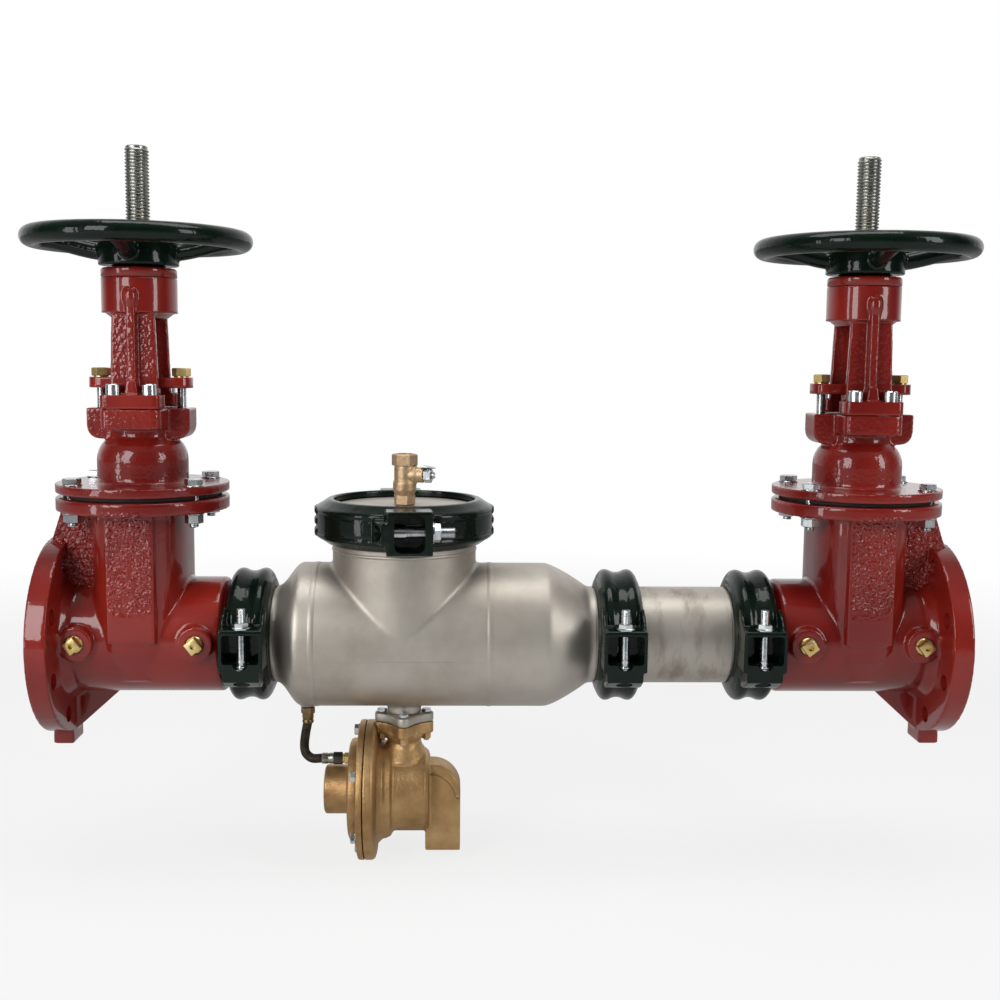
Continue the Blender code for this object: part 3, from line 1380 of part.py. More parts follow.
def build_relief_inside():
    """Diaphragm, the piston with its stem and disc, and the spring that opens the valve."""
    middle = (0.0, relief_height)
    turned("relief_diaphragm", hollow_profile(
        [(relief_flange_radius, diaphragm_x), (relief_flange_radius, diaphragm_x + diaphragm_thickness)],
        [(diaphragm_hole, diaphragm_x), (diaphragm_hole, diaphragm_x + diaphragm_thickness)]),
        "X", at=middle, sides=fine, material=rubber)
    plate_low = diaphragm_x + diaphragm_thickness + gap
    plate_high = plate_low + relief_plate_thickness
    disc_high = relief_seat_x - relief_travel - gap
    disc_low = disc_high - relief_disc_thickness
    turned("relief_piston", solid_profile([
        (diaphragm_hole - gap, diaphragm_x - piston_front), (diaphragm_hole - gap, plate_low),
        (relief_plate_radius, plate_low), (relief_plate_radius, plate_high),
        (relief_stem_radius, plate_high), (relief_stem_radius, disc_low),
        (relief_disc_radius, disc_low), (relief_disc_radius, disc_high)]),
        "X", at=middle, sides=medium, material=bronze, lift=plate_low)
    coil("relief_spring", relief_spring_radius, relief_spring_wire, relief_spring_turns,
         plate_high + gap, partition_x - gap, middle)


def build_sensing_hose():
    """Braided hose from the body's inlet side to the relief cover, with a nut at each end."""
    top = -body_radius - sense_boss_length - gap
    end_x = cover_x - gap
    route = [Vector((hose_top_x, 0, top - hose_fitting_length + hose_sink))]
    drop = route[0].z - hose_port_height
    route += [Vector((hose_top_x + along, 0, route[0].z - drop * share)) for along, share in hose_bend]
    route.append(Vector((end_x - hose_fitting_length + hose_sink, 0, hose_port_height)))
    hose = rod("sensing_hose", smooth_path(route, 2), hose_radius, material=braid, resolution=1)
    upper = drum("sensing_hose_upper_nut", hose_fitting_radius, top - hose_fitting_length, top,
                 at=(hose_top_x, 0), sides=6)
    lower = drum("sensing_hose_lower_nut", hose_fitting_radius * hose_lower_nut_share,
                 end_x - hose_fitting_length, end_x, "X", at=(0.0, hose_port_height), sides=6)
    return join(hose, upper, lower)


def smooth_path(route, steps):
    """Points of a smooth curve through the route's own points."""
    points = []
    padded = [route[0]] + route + [route[-1]]
    for a, b, c, d in zip(padded, padded[1:], padded[2:], padded[3:]):
        for i in range(steps):
            t = i / steps
            points.append(0.5 * ((2 * b) + (c - a) * t + (2 * a - 5 * b + 4 * c - d) * t ** 2
                                 + (3 * b - a - 3 * c + d) * t ** 3))
    points.append(route[-1])
    return points


def build_test_cock():
    """Small ball valve in the cap, and its ball with the operating stem."""
    name = "test_cock_body"
    seat = cap_top + gap
    hex_high = seat + cock_hex_height
    bulb_high = hex_high + cock_bulb_height
    barrel_high = bulb_high + cock_barrel_height
    frame = frame_empty("test_cock_frame", (riser_x, 0, bulb_high + cock_barrel_height * cock_stem_share),
                        cock_turn)
    centre = frame.location.z
    body = turned(name, solid_profile([
        (cock_shank_radius, seat - cock_shank_length - centre), (cock_shank_radius, seat - centre),
        (cock_hex_radius - cock_hex_inset, seat - centre),
        (cock_hex_radius - cock_hex_inset, hex_high - centre),
        (cock_bulb_radius, hex_high + chamfer - centre), (cock_bulb_radius, bulb_high - chamfer - centre),
        (cock_barrel_radius, bulb_high - centre), (cock_barrel_radius, barrel_high + overlap - centre)]),
        sides=medium, material=bronze, parent=frame)
    base_hex = drum(name + "_base_hex", cock_hex_radius, seat - centre,
                    hex_high - small_chamfer - centre, sides=6, parent=frame)
    head = drum(name + "_head", cock_head_radius, barrel_high - centre,
                barrel_high + cock_head_height - centre, sides=6, parent=frame)
    side = drum(name + "_side", cock_side_radius, cock_side_root, cock_side_reach, "X", sides=small,
                parent=frame)
    join(body, base_hex, head, side)
    cut(body,
        drum(name + "_bore", cock_bore, seat - cock_shank_length - past - centre,
             barrel_high + cock_head_height + past - centre, sides=coarse, parent=frame,
             turn=cock_bore_turn),
        drum(name + "_ball_seat", turning_bore(cock_ball_radius, small), -cock_ball_radius - gap,
             cock_ball_radius + gap, "X", sides=small, parent=frame, turn=0.0),
        drum(name + "_stem_bore", turning_bore(cock_stem_radius, small), 0.0, cock_side_reach + past, "X",
             sides=small, parent=frame, turn=0.0))
    ball = [(cock_ball_radius * across, cock_ball_radius * along) for across, along in ball_shape]
    stem = turned("test_cock_stem", solid_profile(ball + [
        (cock_stem_radius, cock_ball_radius * ball_top_share),
        (cock_stem_radius, cock_side_reach + gap),
        (cock_stem_nut_radius, cock_side_reach + gap),
        (cock_stem_nut_radius, cock_side_reach + gap + cock_stem_nut_length),
        (cock_stem_radius, cock_side_reach + gap + cock_stem_nut_length),
        (cock_stem_radius, cock_stem_reach)]), "X", sides=small, material=brass, parent=frame)
    way = drum("test_cock_stem_way", cock_bore * cock_way_share, -cock_way_reach, cock_way_reach,
               sides=coarse, parent=frame)
    slot = block("test_cock_stem_slot", (cock_stem_reach - cock_slot_depth, -past, -cock_slot_half_width),
                 (cock_stem_reach + past, past, cock_slot_half_width), parent=frame)
    return cut(stem, way, slot)


build_gate_valve("inlet", inlet_stem_x, 0.0, -1)
build_gate_valve("outlet", outlet_stem_x, math.pi, 1)
build_backflow_body()
build_access_cap()
build_cap_coupling()
build_spool()
for number, joint_x in enumerate((first_joint_x, second_joint_x, third_joint_x), start=1):
    build_pipe_coupling(number, joint_x)
build_check("check_one", check_one_x)
build_check("check_two", check_two_x)
build_relief_body()
build_relief_cover()
build_relief_inside()
build_sensing_hose()
build_test_cock()

for item in parts.objects:
    if item.type == "MESH":
        item.data.shade_smooth()
        item.data.set_sharp_from_angle(angle=math.radians(30))
        if item.modifiers:
            weld = item.modifiers.new("clear_doubles", "WELD")
            weld.merge_threshold = 0.00003
            flatten = item.modifiers.new("clear_flat_faces", "DECIMATE")
            flatten.decimate_type = "DISSOLVE"
            flatten.angle_limit = math.radians(0.3)
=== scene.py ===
import json
import math

import bmesh
import bpy
from mathutils import Matrix, Vector


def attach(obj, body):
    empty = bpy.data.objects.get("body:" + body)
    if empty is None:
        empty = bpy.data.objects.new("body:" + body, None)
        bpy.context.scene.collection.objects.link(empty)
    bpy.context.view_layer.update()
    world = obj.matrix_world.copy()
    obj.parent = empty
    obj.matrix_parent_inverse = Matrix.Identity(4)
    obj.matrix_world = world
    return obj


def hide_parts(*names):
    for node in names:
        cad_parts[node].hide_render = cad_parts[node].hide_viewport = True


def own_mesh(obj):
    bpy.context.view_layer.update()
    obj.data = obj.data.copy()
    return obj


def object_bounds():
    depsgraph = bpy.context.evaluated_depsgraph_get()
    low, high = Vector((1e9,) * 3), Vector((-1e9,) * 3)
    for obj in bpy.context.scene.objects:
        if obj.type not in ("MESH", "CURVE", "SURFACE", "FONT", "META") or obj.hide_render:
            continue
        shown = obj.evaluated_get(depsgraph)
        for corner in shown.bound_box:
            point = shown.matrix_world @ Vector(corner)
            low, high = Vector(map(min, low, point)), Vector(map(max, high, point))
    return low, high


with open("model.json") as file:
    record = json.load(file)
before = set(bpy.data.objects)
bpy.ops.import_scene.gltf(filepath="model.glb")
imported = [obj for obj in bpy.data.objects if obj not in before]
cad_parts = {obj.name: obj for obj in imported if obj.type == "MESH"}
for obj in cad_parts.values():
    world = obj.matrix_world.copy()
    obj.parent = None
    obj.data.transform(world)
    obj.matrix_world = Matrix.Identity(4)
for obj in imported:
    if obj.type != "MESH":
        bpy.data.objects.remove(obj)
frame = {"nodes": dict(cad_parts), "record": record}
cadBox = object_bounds()
cadNodes = frame["nodes"]
bpy.context.scene.view_settings.view_transform = "Standard"
print("frame loaded:", len(cadNodes), "nodes")

# places shared by several pieces, in metres
line = {"pipe": 0.05715, "pipeWall": 0.0045, "inletStem": 0.107, "outletStem": 0.947,
        "joints": (0.235, 0.661, 0.819), "riser": 0.411, "capJoint": 0.137, "grooveSeat": 0.0159,
        "grooveWidth": 0.0095, "grooveDepth": 0.0021, "jointGap": 0.003, "stemWay": 0.0131}
valvePlace = {"inlet": Matrix.Translation((line["inletStem"], 0, 0)),
              "outlet": Matrix.Translation((line["outletStem"], 0, 0)) @ Matrix.Rotation(math.pi, 4, "Z")}
valveFront = {"inlet": -1, "outlet": 1}
alongX = Matrix(((0, 0, 1), (0, 1, 0), (-1, 0, 0))).to_4x4()
alongY = Matrix(((1, 0, 0), (0, 0, 1), (0, -1, 0))).to_4x4()
alongZ = Matrix.Identity(4)


# colours and nodes

def toLinear(hexCode):
    values = [int(hexCode[i:i + 2], 16) / 255 for i in (1, 3, 5)]
    return [v / 12.92 if v <= 0.04045 else ((v + 0.055) / 1.055) ** 2.4 for v in values] + [1.0]


def addNode(tree, kind, inputs=None, links=None, **settings):
    node = tree.nodes.new(kind)
    for name, value in settings.items():
        setattr(node, name, value)
    for name, value in (inputs or {}).items():
        node.inputs[name].default_value = value
    for name, source in (links or {}).items():
        tree.links.new(source, node.inputs[name])
    return node


def startMaterial(name, **sockets):
    # a Principled shader with its even values on its own sockets, and object coordinates
    material = bpy.data.materials.new(name)
    material.use_nodes = True
    tree = material.node_tree
    tree.nodes.clear()
    shader = addNode(tree, "ShaderNodeBsdfPrincipled", sockets)
    addNode(tree, "ShaderNodeOutputMaterial", links={"Surface": shader.outputs[0]})
    place = addNode(tree, "ShaderNodeTexCoord").outputs["Object"]
    return material, tree, shader, place


def blendColours(tree, factor, stops):
    ramp = addNode(tree, "ShaderNodeValToRGB", links={"Fac": factor})
    while len(ramp.color_ramp.elements) < len(stops):
        ramp.color_ramp.elements.new(0.5)
    for element, (spot, colour) in zip(ramp.color_ramp.elements, stops):
        element.position = spot
        element.color = toLinear(colour)
    return ramp.outputs["Color"]


def spread(tree, value, low, high, fromLow=0.0, fromHigh=1.0):
    return addNode(tree, "ShaderNodeMapRange", {"From Min": fromLow, "From Max": fromHigh, "To Min": low,
                                                "To Max": high}, {"Value": value}).outputs["Result"]


def noiseAt(tree, place, millimetres, detail=3.0, roughness=0.55, stretch=None):
    # a noise whose main lumps are about this many millimetres across
    source = place
    if stretch:
        source = addNode(tree, "ShaderNodeMapping", {"Scale": stretch}, {"Vector": place}).outputs[0]
    return addNode(tree, "ShaderNodeTexNoise", {"Scale": 1000.0 / millimetres / 2, "Detail": detail,
                                                "Roughness": roughness}, {"Vector": source}).outputs["Fac"]


def raiseSurface(tree, shader, height, millimetres, below=None, strength=1.0):
    links = {"Height": height}
    if below is not None:
        links["Normal"] = below
    bump = addNode(tree, "ShaderNodeBump", {"Strength": strength, "Distance": millimetres / 1000}, links)
    for socket in ("Normal", "Coat Normal"):
        tree.links.new(bump.outputs[0], shader.inputs[socket])
    return bump.outputs[0]


def redEpoxyCasting():
    # fusion-bonded epoxy over a sand casting: deep gloss, orange peel, lumps where the sand showed
    material, tree, shader, place = startMaterial(
        "red_fusion_bonded_epoxy_on_ductile_iron", Metallic=0.0, IOR=1.5,
        **{"Coat Weight": 0.72, "Coat Roughness": 0.05, "Coat IOR": 1.5, "Specular IOR Level": 0.12})
    drift = noiseAt(tree, place, 60, 2)
    colour = blendColours(tree, drift, ((0.3, "#62110F"), (0.7, "#842017")))
    tree.links.new(colour, shader.inputs["Base Color"])
    tree.links.new(spread(tree, noiseAt(tree, place, 14, 3), 0.24, 0.40), shader.inputs["Roughness"])
    sand = addNode(tree, "ShaderNodeAttribute", attribute_name="sand").outputs["Fac"]
    lumps = addNode(tree, "ShaderNodeTexVoronoi", {"Scale": 1000.0 / 5.4, "Smoothness": 0.7, "Detail": 1.0},
                    {"Vector": place}, feature="SMOOTH_F1").outputs["Distance"]
    strength = spread(tree, sand, 0.0, 1.0, 0.2, 0.85)
    peel = raiseSurface(tree, shader, noiseAt(tree, place, 7.5, 2), 0.16)
    lumpBump = addNode(tree, "ShaderNodeBump", {"Distance": 0.0032},
                       {"Height": lumps, "Strength": strength, "Normal": peel}, invert=True)
    for socket in ("Normal", "Coat Normal"):
        tree.links.new(lumpBump.outputs[0], shader.inputs[socket])
    return material


def blackEnamelCasting():
    # dipped gloss enamel over a casting: near black with a slight green cast, soft orange peel
    material, tree, shader, place = startMaterial(
        "gloss_black_enamel_on_ductile_iron", Metallic=0.0, IOR=1.5,
        **{"Coat Weight": 0.36, "Coat Roughness": 0.05, "Specular IOR Level": 0.05})
    colour = blendColours(tree, noiseAt(tree, place, 30, 3), ((0.35, "#06110C"), (0.75, "#0B1C14")))
    tree.links.new(colour, shader.inputs["Base Color"])
    tree.links.new(spread(tree, noiseAt(tree, place, 10, 3), 0.16, 0.34), shader.inputs["Roughness"])
    peel = raiseSurface(tree, shader, noiseAt(tree, place, 11, 2), 0.6)
    raiseSurface(tree, shader, noiseAt(tree, place, 3.2, 2), 0.14, peel)
    return material


def satinStainless(name, stained):
    # bead-blasted stainless sheet: even warm grey, faint clouds from the blasting and from hands
    material, tree, shader, place = startMaterial(name, Metallic=0.88)
    # stains run down the pipe as narrow drips; the plain sheet only clouds slightly
    clouds = noiseAt(tree, place, 11 if stained else 48, 4, 0.6, (1.0, 0.6, 0.30) if stained else None)
    dark, light = ("#968D82", "#B3ADA4") if stained else ("#A19A90", "#B8B2A9")
    colour = blendColours(tree, clouds, ((0.33, dark), (0.53 if stained else 0.60, light)))
    tree.links.new(colour, shader.inputs["Base Color"])
    grit = noiseAt(tree, place, 1.3, 2)
    rough = addNode(tree, "ShaderNodeMath", {1: 0.12}, {0: grit}, operation="MULTIPLY").outputs[0]
    base = spread(tree, clouds, 0.50, 0.36)
    both = addNode(tree, "ShaderNodeMath", links={0: rough, 1: base}, operation="ADD").outputs[0]
    tree.links.new(both, shader.inputs["Roughness"])
    raiseSurface(tree, shader, grit, 0.05)
    return material


def castBronze(name, shades):
    # sand-cast bronze, bead-blasted: dull yellow brown with a visible grain
    material, tree, shader, place = startMaterial(name, Metallic=0.85)
    clouds = noiseAt(tree, place, 26, 4, 0.6)
    colour = blendColours(tree, clouds, tuple(zip((0.3, 0.55, 0.8), shades)))
    tree.links.new(colour, shader.inputs["Base Color"])
    tree.links.new(spread(tree, noiseAt(tree, place, 4, 3), 0.38, 0.56), shader.inputs["Roughness"])
    grain = raiseSurface(tree, shader, noiseAt(tree, place, 1.9, 3, 0.7), 0.50)
    raiseSurface(tree, shader, noiseAt(tree, place, 8, 2), 0.5, grain)
    return material


def turnedMetal(name, dark, light, rough, bump=0.03, metallic=1.0):
    # machined or plated metal: fine tool marks too small to see one by one, and slight tarnish
    material, tree, shader, place = startMaterial(name, Metallic=metallic)
    clouds = noiseAt(tree, place, 9, 3, 0.6)
    tree.links.new(blendColours(tree, clouds, ((0.32, dark), (0.68, light))), shader.inputs["Base Color"])
    tree.links.new(spread(tree, noiseAt(tree, place, 3, 3), rough - 0.06, rough + 0.10),
                   shader.inputs["Roughness"])
    raiseSurface(tree, shader, noiseAt(tree, place, 0.8, 2), bump)
    return material


def mouldedRubber():
    # moulded gasket rubber: matt black with a dusty bloom
    material, tree, shader, place = startMaterial("moulded_gasket_rubber", Metallic=0.0, IOR=1.52)
    colour = blendColours(tree, noiseAt(tree, place, 12, 3), ((0.3, "#121212"), (0.8, "#1F1E1D")))
    tree.links.new(colour, shader.inputs["Base Color"])
    tree.links.new(spread(tree, noiseAt(tree, place, 2, 2), 0.62, 0.8), shader.inputs["Roughness"])
    raiseSurface(tree, shader, noiseAt(tree, place, 1.5, 2), 0.08)
    return material


def braidedSleeve():
    # dark braided sleeve over rubber hose: the strands are real, this is their finish
    material, tree, shader, place = startMaterial("dark_oiled_wire_braid", Metallic=0.55)
    colour = blendColours(tree, noiseAt(tree, place, 6, 3), ((0.35, "#1F1A14"), (0.7, "#443B2F")))
    tree.links.new(colour, shader.inputs["Base Color"])
    tree.links.new(spread(tree, noiseAt(tree, place, 2, 2), 0.40, 0.60), shader.inputs["Roughness"])
    raiseSurface(tree, shader, noiseAt(tree, place, 0.8, 2), 0.06)
    return material


finish = {
    "red_epoxy": redEpoxyCasting(),
    "black_enamel": blackEnamelCasting(),
    "stainless": satinStainless("bead_blasted_stainless_steel", False),
    "stainedPipe": satinStainless("pickled_stainless_pipe_with_water_stains", True),
    "bronze": castBronze("sand_cast_bronze", ("#8B6A44", "#B08E61", "#CBAC7E")),
    "paleBronze": castBronze("tumbled_cast_bronze", ("#9A7F60", "#BB9F7E", "#D2BB9C")),
    "brass": turnedMetal("machined_brass", "#CDB26F", "#EAD39A", 0.34, 0.015),
    "agedBrass": turnedMetal("oiled_brass_fitting", "#6E5A40", "#94795A", 0.36),
    "zinc": turnedMetal("bright_zinc_plated_steel", "#B4B9BC", "#DCDFE0", 0.22, 0.012),
    "stem_steel": turnedMetal("turned_stainless_stem", "#85857F", "#A3A49D", 0.32, 0.010),
    "darkSteel": turnedMetal("oiled_black_steel_thread", "#3A3835", "#55524E", 0.38),
    "rubber": mouldedRubber(),
    "spring_steel": turnedMetal("drawn_spring_steel", "#8C8C8E", "#ADADB0", 0.30),
    "braid": braidedSleeve(),
}
for member in frame["record"]["subparts"]:
    node = cadNodes[member["node"]]
    node.data.materials.clear()
    node.data.materials.append(finish[member["material_slot"]])
print("finishes made:", len(finish))


# shapes

def asObject(name, shape, place=None):
    mesh = bpy.data.meshes.new(name)
    shape.to_mesh(mesh)
    shape.free()
    piece = bpy.data.objects.new(name, mesh)
    bpy.context.scene.collection.objects.link(piece)
    if place is not None:
        mesh.transform(place)
    return piece


def lathe(name, profile, sides=96, axis=alongZ, at=(0, 0, 0), place=None, turn=0.0):
    # turns (radius, height) points round an axis; ends of a profile that is off the axis are joined up
    shape = bmesh.new()
    onAxis = profile[0][0] < 1e-6
    rings = []
    for radius, height in profile:
        if radius < 1e-6:
            rings.append([shape.verts.new((0, 0, height))])
        else:
            rings.append([shape.verts.new((radius * math.cos(turn + 2 * math.pi * i / sides),
                                           radius * math.sin(turn + 2 * math.pi * i / sides), height))
                          for i in range(sides)])
    pairs = list(zip(rings, rings[1:]))
    if not onAxis:
        pairs.append((rings[-1], rings[0]))
    for a, b in pairs:
        for i in range(sides):
            k = (i + 1) % sides
            if len(a) == 1:
                shape.faces.new((a[0], b[k], b[i]))
            elif len(b) == 1:
                shape.faces.new((a[i], a[k], b[0]))
            else:
                shape.faces.new((a[i], a[k], b[k], b[i]))
    bmesh.ops.recalc_face_normals(shape, faces=shape.faces)
    bmesh.ops.transform(shape, matrix=Matrix.Translation(at) @ axis, verts=shape.verts)
    return asObject(name, shape, place)


def solid(points):
    return [(0.0, points[0][1])] + list(points) + [(0.0, points[-1][1])]


def drum(name, radius, start, end, axis=alongZ, at=(0, 0, 0), sides=48, place=None, edge=0.0, turn=0.0):
    points = [(radius, start), (radius, end)]
    if edge:
        points = [(radius - edge, start), (radius, start + edge), (radius, end - edge), (radius - edge, end)]
    return lathe(name, solid(points), sides, axis, at, place, turn)


def prism(name, outline, start, end, axis="Z", place=None, at=(0, 0, 0), edge=0.0):
    shape = bmesh.new()
    lay = {"Z": lambda u, v, w: (u, v, w), "Y": lambda u, v, w: (u, w, v), "X": lambda u, v, w: (w, u, v)}[axis]
    low = [shape.verts.new(lay(u, v, start)) for u, v in outline]
    high = [shape.verts.new(lay(u, v, end)) for u, v in outline]
    for i in range(len(outline)):
        k = (i + 1) % len(outline)
        shape.faces.new((low[i], low[k], high[k], high[i]))
    shape.faces.new(low[::-1])
    shape.faces.new(high)
    bmesh.ops.recalc_face_normals(shape, faces=shape.faces)
    if edge:
        bmesh.ops.bevel(shape, geom=shape.edges[:], offset=edge, segments=2, profile=0.5, affect="EDGES")
    bmesh.ops.translate(shape, vec=at, verts=shape.verts)
    return asObject(name, shape, place)


def box(name, low, high, place=None, edge=0.0):
    return prism(name, [(low[0], low[1]), (high[0], low[1]), (high[0], high[1]), (low[0], high[1])],
                 low[2], high[2], place=place, edge=edge)


def arc(centre, radius, first, last, steps):
    return [(centre[0] + radius * math.cos(math.radians(first + (last - first) * i / steps)),
             centre[1] + radius * math.sin(math.radians(first + (last - first) * i / steps)))
            for i in range(steps + 1)]


def roundedOutline(halfX, halfY, corner, steps=6):
    points = []
    for sx, sy, first in ((1, 1, 0), (-1, 1, 90), (-1, -1, 180), (1, -1, 270)):
        points += arc((sx * (halfX - corner), sy * (halfY - corner)), corner, first, first + 90, steps)
    return points


def sweep(name, path, radii, sides=20, flat=1.0, flatAxis=None, place=None):
    # a round or flattened rod along a path, with one radius for each point
    shape = bmesh.new()
    rings = []
    up = Vector(flatAxis) if flatAxis else None
    for i, point in enumerate(path):
        point = Vector(point)
        ahead = (Vector(path[min(i + 1, len(path) - 1)]) - Vector(path[max(i - 1, 0)])).normalized()
        guide = up if up is not None else (Vector((0, 1, 0)) if abs(ahead.y) < 0.9 else Vector((1, 0, 0)))
        side = ahead.cross(guide).normalized()
        over = side.cross(ahead).normalized()
        rings.append([shape.verts.new(point + side * radii[i] * math.cos(2 * math.pi * k / sides)
                                      + over * radii[i] * flat * math.sin(2 * math.pi * k / sides))
                      for k in range(sides)])
    for a, b in zip(rings, rings[1:]):
        for k in range(sides):
            n = (k + 1) % sides
            shape.faces.new((a[k], a[n], b[n], b[k]))
    shape.faces.new(rings[0][::-1])
    shape.faces.new(rings[-1])
    bmesh.ops.recalc_face_normals(shape, faces=shape.faces)
    return asObject(name, shape, place)


def merge(name, pieces):
    # several meshes become one, still separate shells
    shape = bmesh.new()
    for piece in pieces:
        shape.from_mesh(piece.data)
        drop(piece)
    return asObject(name, shape)


def drop(piece):
    mesh = piece.data
    bpy.data.objects.remove(piece, do_unlink=True)
    if mesh.users == 0:
        bpy.data.meshes.remove(mesh)


def copyOf(raw, name, place=None):
    piece = raw.copy()
    piece.data = raw.data.copy()
    piece.name = name
    bpy.context.scene.collection.objects.link(piece)
    if place is not None:
        piece.data.transform(place)
    return piece


def fourCorners(x, y):
    return [(sx * x, sy * y, 0) for sx in (-1, 1) for sy in (-1, 1)]


def span(sign, near, far):
    # the two ends of a stretch on the side of an axis that the sign gives, lower one first
    return sorted((sign * near, sign * far))


def grooveCutter(name, radius, proud, low, high, sides, axis=alongZ, at=(0, 0, 0), turn=0.0):
    depth = line["grooveDepth"]
    return lathe(name, [(radius - depth, low), (radius + proud, low), (radius + proud, high),
                        (radius - depth, high)], sides, axis, at, turn=turn)


def settle(piece):
    # applies the modifiers by taking the evaluated mesh
    bpy.context.view_layer.update()
    graph = bpy.context.evaluated_depsgraph_get()
    mesh = bpy.data.meshes.new_from_object(piece.evaluated_get(graph))
    piece.modifiers.clear()
    old = piece.data
    piece.data = mesh
    bpy.data.meshes.remove(old)
    return piece


def castFrom(name, solids, grain=0.0019, softness=5):
    # solids melt together as a casting: voxels join them and smoothing gives every edge its fillet
    piece = merge(name, solids)
    remesh = piece.modifiers.new("cast", "REMESH")
    remesh.mode = "VOXEL"
    remesh.voxel_size = grain * 1.0
    remesh.adaptivity = 0.0
    smooth = piece.modifiers.new("fillet", "SMOOTH")
    smooth.factor = 0.5
    smooth.iterations = max(1, softness // (1))
    return settle(piece)


def machine(piece, cutters, solver="MANIFOLD"):
    # drills and mills a casting after it is cast, so that these edges stay sharp
    tool = merge(piece.name + "_cut", cutters)
    cut = piece.modifiers.new("machine", "BOOLEAN")
    cut.operation = "DIFFERENCE"
    cut.solver = solver
    cut.object = tool
    settle(piece)
    drop(tool)
    return piece


def roundEdges(piece, width, segments=2, angle=35):
    bevel = piece.modifiers.new("round", "BEVEL")
    bevel.width = width
    bevel.segments = segments
    bevel.limit_method = "ANGLE"
    bevel.angle_limit = math.radians(angle)
    bevel.harden_normals = False
    return settle(piece)


def done(piece, body, slotName, material=None, stands=(), smooth=40):
    # finish, shading, the body it rides on and the solids it stands for
    piece.data.materials.clear()
    piece.data.materials.append(finish[material or slotName])
    for face in piece.data.polygons:
        face.use_smooth = True
        face.material_index = 0
    piece.data.set_sharp_from_angle(angle=math.radians(smooth))
    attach(piece, body)
    if stands:
        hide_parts(*stands)
    return piece


# Geometry Nodes for what repeats

def startTree(name, inputs):
    tree = bpy.data.node_groups.new(name, "GeometryNodeTree")
    tree.is_modifier = True
    for label, kind, value in inputs:
        socket = tree.interface.new_socket(label, in_out="INPUT", socket_type="NodeSocket" + kind)
        if value is not None:
            socket.default_value = value
    tree.interface.new_socket("Result", in_out="OUTPUT", socket_type="NodeSocketGeometry")
    return tree, addNode(tree, "NodeGroupInput")


def endTree(tree, source, given):
    whole = addNode(tree, "GeometryNodeRealizeInstances", links={"Geometry": source})
    dressed = addNode(tree, "GeometryNodeSetMaterial", links={"Geometry": whole.outputs[0],
                                                              "Material": given.outputs["Finish"]})
    addNode(tree, "NodeGroupOutput", links={"Result": dressed.outputs[0]})
    return tree


def fastenerTree():
    # one fastener on every point, each with its own twist round its axis
    tree, given = startTree("fasteners_on_points", [
        ("Points", "Geometry", None), ("Fastener", "Object", None), ("Twist", "Float", 6.28),
        ("Seed", "Int", 4), ("Finish", "Material", None)])
    shape = addNode(tree, "GeometryNodeObjectInfo", links={"Object": given.outputs["Fastener"]})
    twist = addNode(tree, "FunctionNodeRandomValue", data_type="FLOAT")
    tree.links.new(given.outputs["Twist"], twist.inputs[3])
    tree.links.new(given.outputs["Seed"], twist.inputs["Seed"])
    turn = addNode(tree, "ShaderNodeCombineXYZ", links={"Z": twist.outputs[1]})
    spin = addNode(tree, "FunctionNodeEulerToRotation", links={"Euler": turn.outputs[0]})
    placed = addNode(tree, "GeometryNodeInstanceOnPoints", links={
        "Points": given.outputs["Points"], "Instance": shape.outputs["Geometry"], "Rotation": spin.outputs[0]})
    return endTree(tree, placed.outputs[0], given)


def threadTree():
    # a screw thread: a ridge wound round a core
    tree, given = startTree("screw_thread", [
        ("Core", "Float", 0.01), ("Ridge", "Float", 0.001), ("Pitch", "Float", 0.002), ("Length", "Float", 0.1),
        ("Around", "Int", 24), ("Finish", "Material", None)])
    turns = addNode(tree, "ShaderNodeMath", links={0: given.outputs["Length"], 1: given.outputs["Pitch"]},
                    operation="DIVIDE")
    path = addNode(tree, "GeometryNodeCurveSpiral", links={
        "Resolution": given.outputs["Around"], "Rotations": turns.outputs[0],
        "Start Radius": given.outputs["Core"], "End Radius": given.outputs["Core"],
        "Height": given.outputs["Length"]})
    upright = addNode(tree, "GeometryNodeSetCurveNormal", links={"Curve": path.outputs[0]}, mode="Z_UP")
    section = addNode(tree, "GeometryNodeCurvePrimitiveCircle", {"Resolution": 4},
                      {"Radius": given.outputs["Ridge"]})
    ridge = addNode(tree, "GeometryNodeCurveToMesh", {"Fill Caps": True},
                    {"Curve": upright.outputs[0], "Profile Curve": section.outputs[0]})
    core = addNode(tree, "GeometryNodeMeshCylinder", links={
        "Vertices": given.outputs["Around"], "Radius": given.outputs["Core"], "Depth": given.outputs["Length"]})
    half = addNode(tree, "ShaderNodeMath", {1: 0.5}, {0: given.outputs["Length"]}, operation="MULTIPLY")
    lift = addNode(tree, "ShaderNodeCombineXYZ", links={"Z": half.outputs[0]})
    raised = addNode(tree, "GeometryNodeTransform", links={"Geometry": core.outputs["Mesh"],
                                                           "Translation": lift.outputs[0]})
    both = addNode(tree, "GeometryNodeJoinGeometry")
    tree.links.new(ridge.outputs[0], both.inputs[0])
    tree.links.new(raised.outputs[0], both.inputs[0])
    return endTree(tree, both.outputs[0], given)


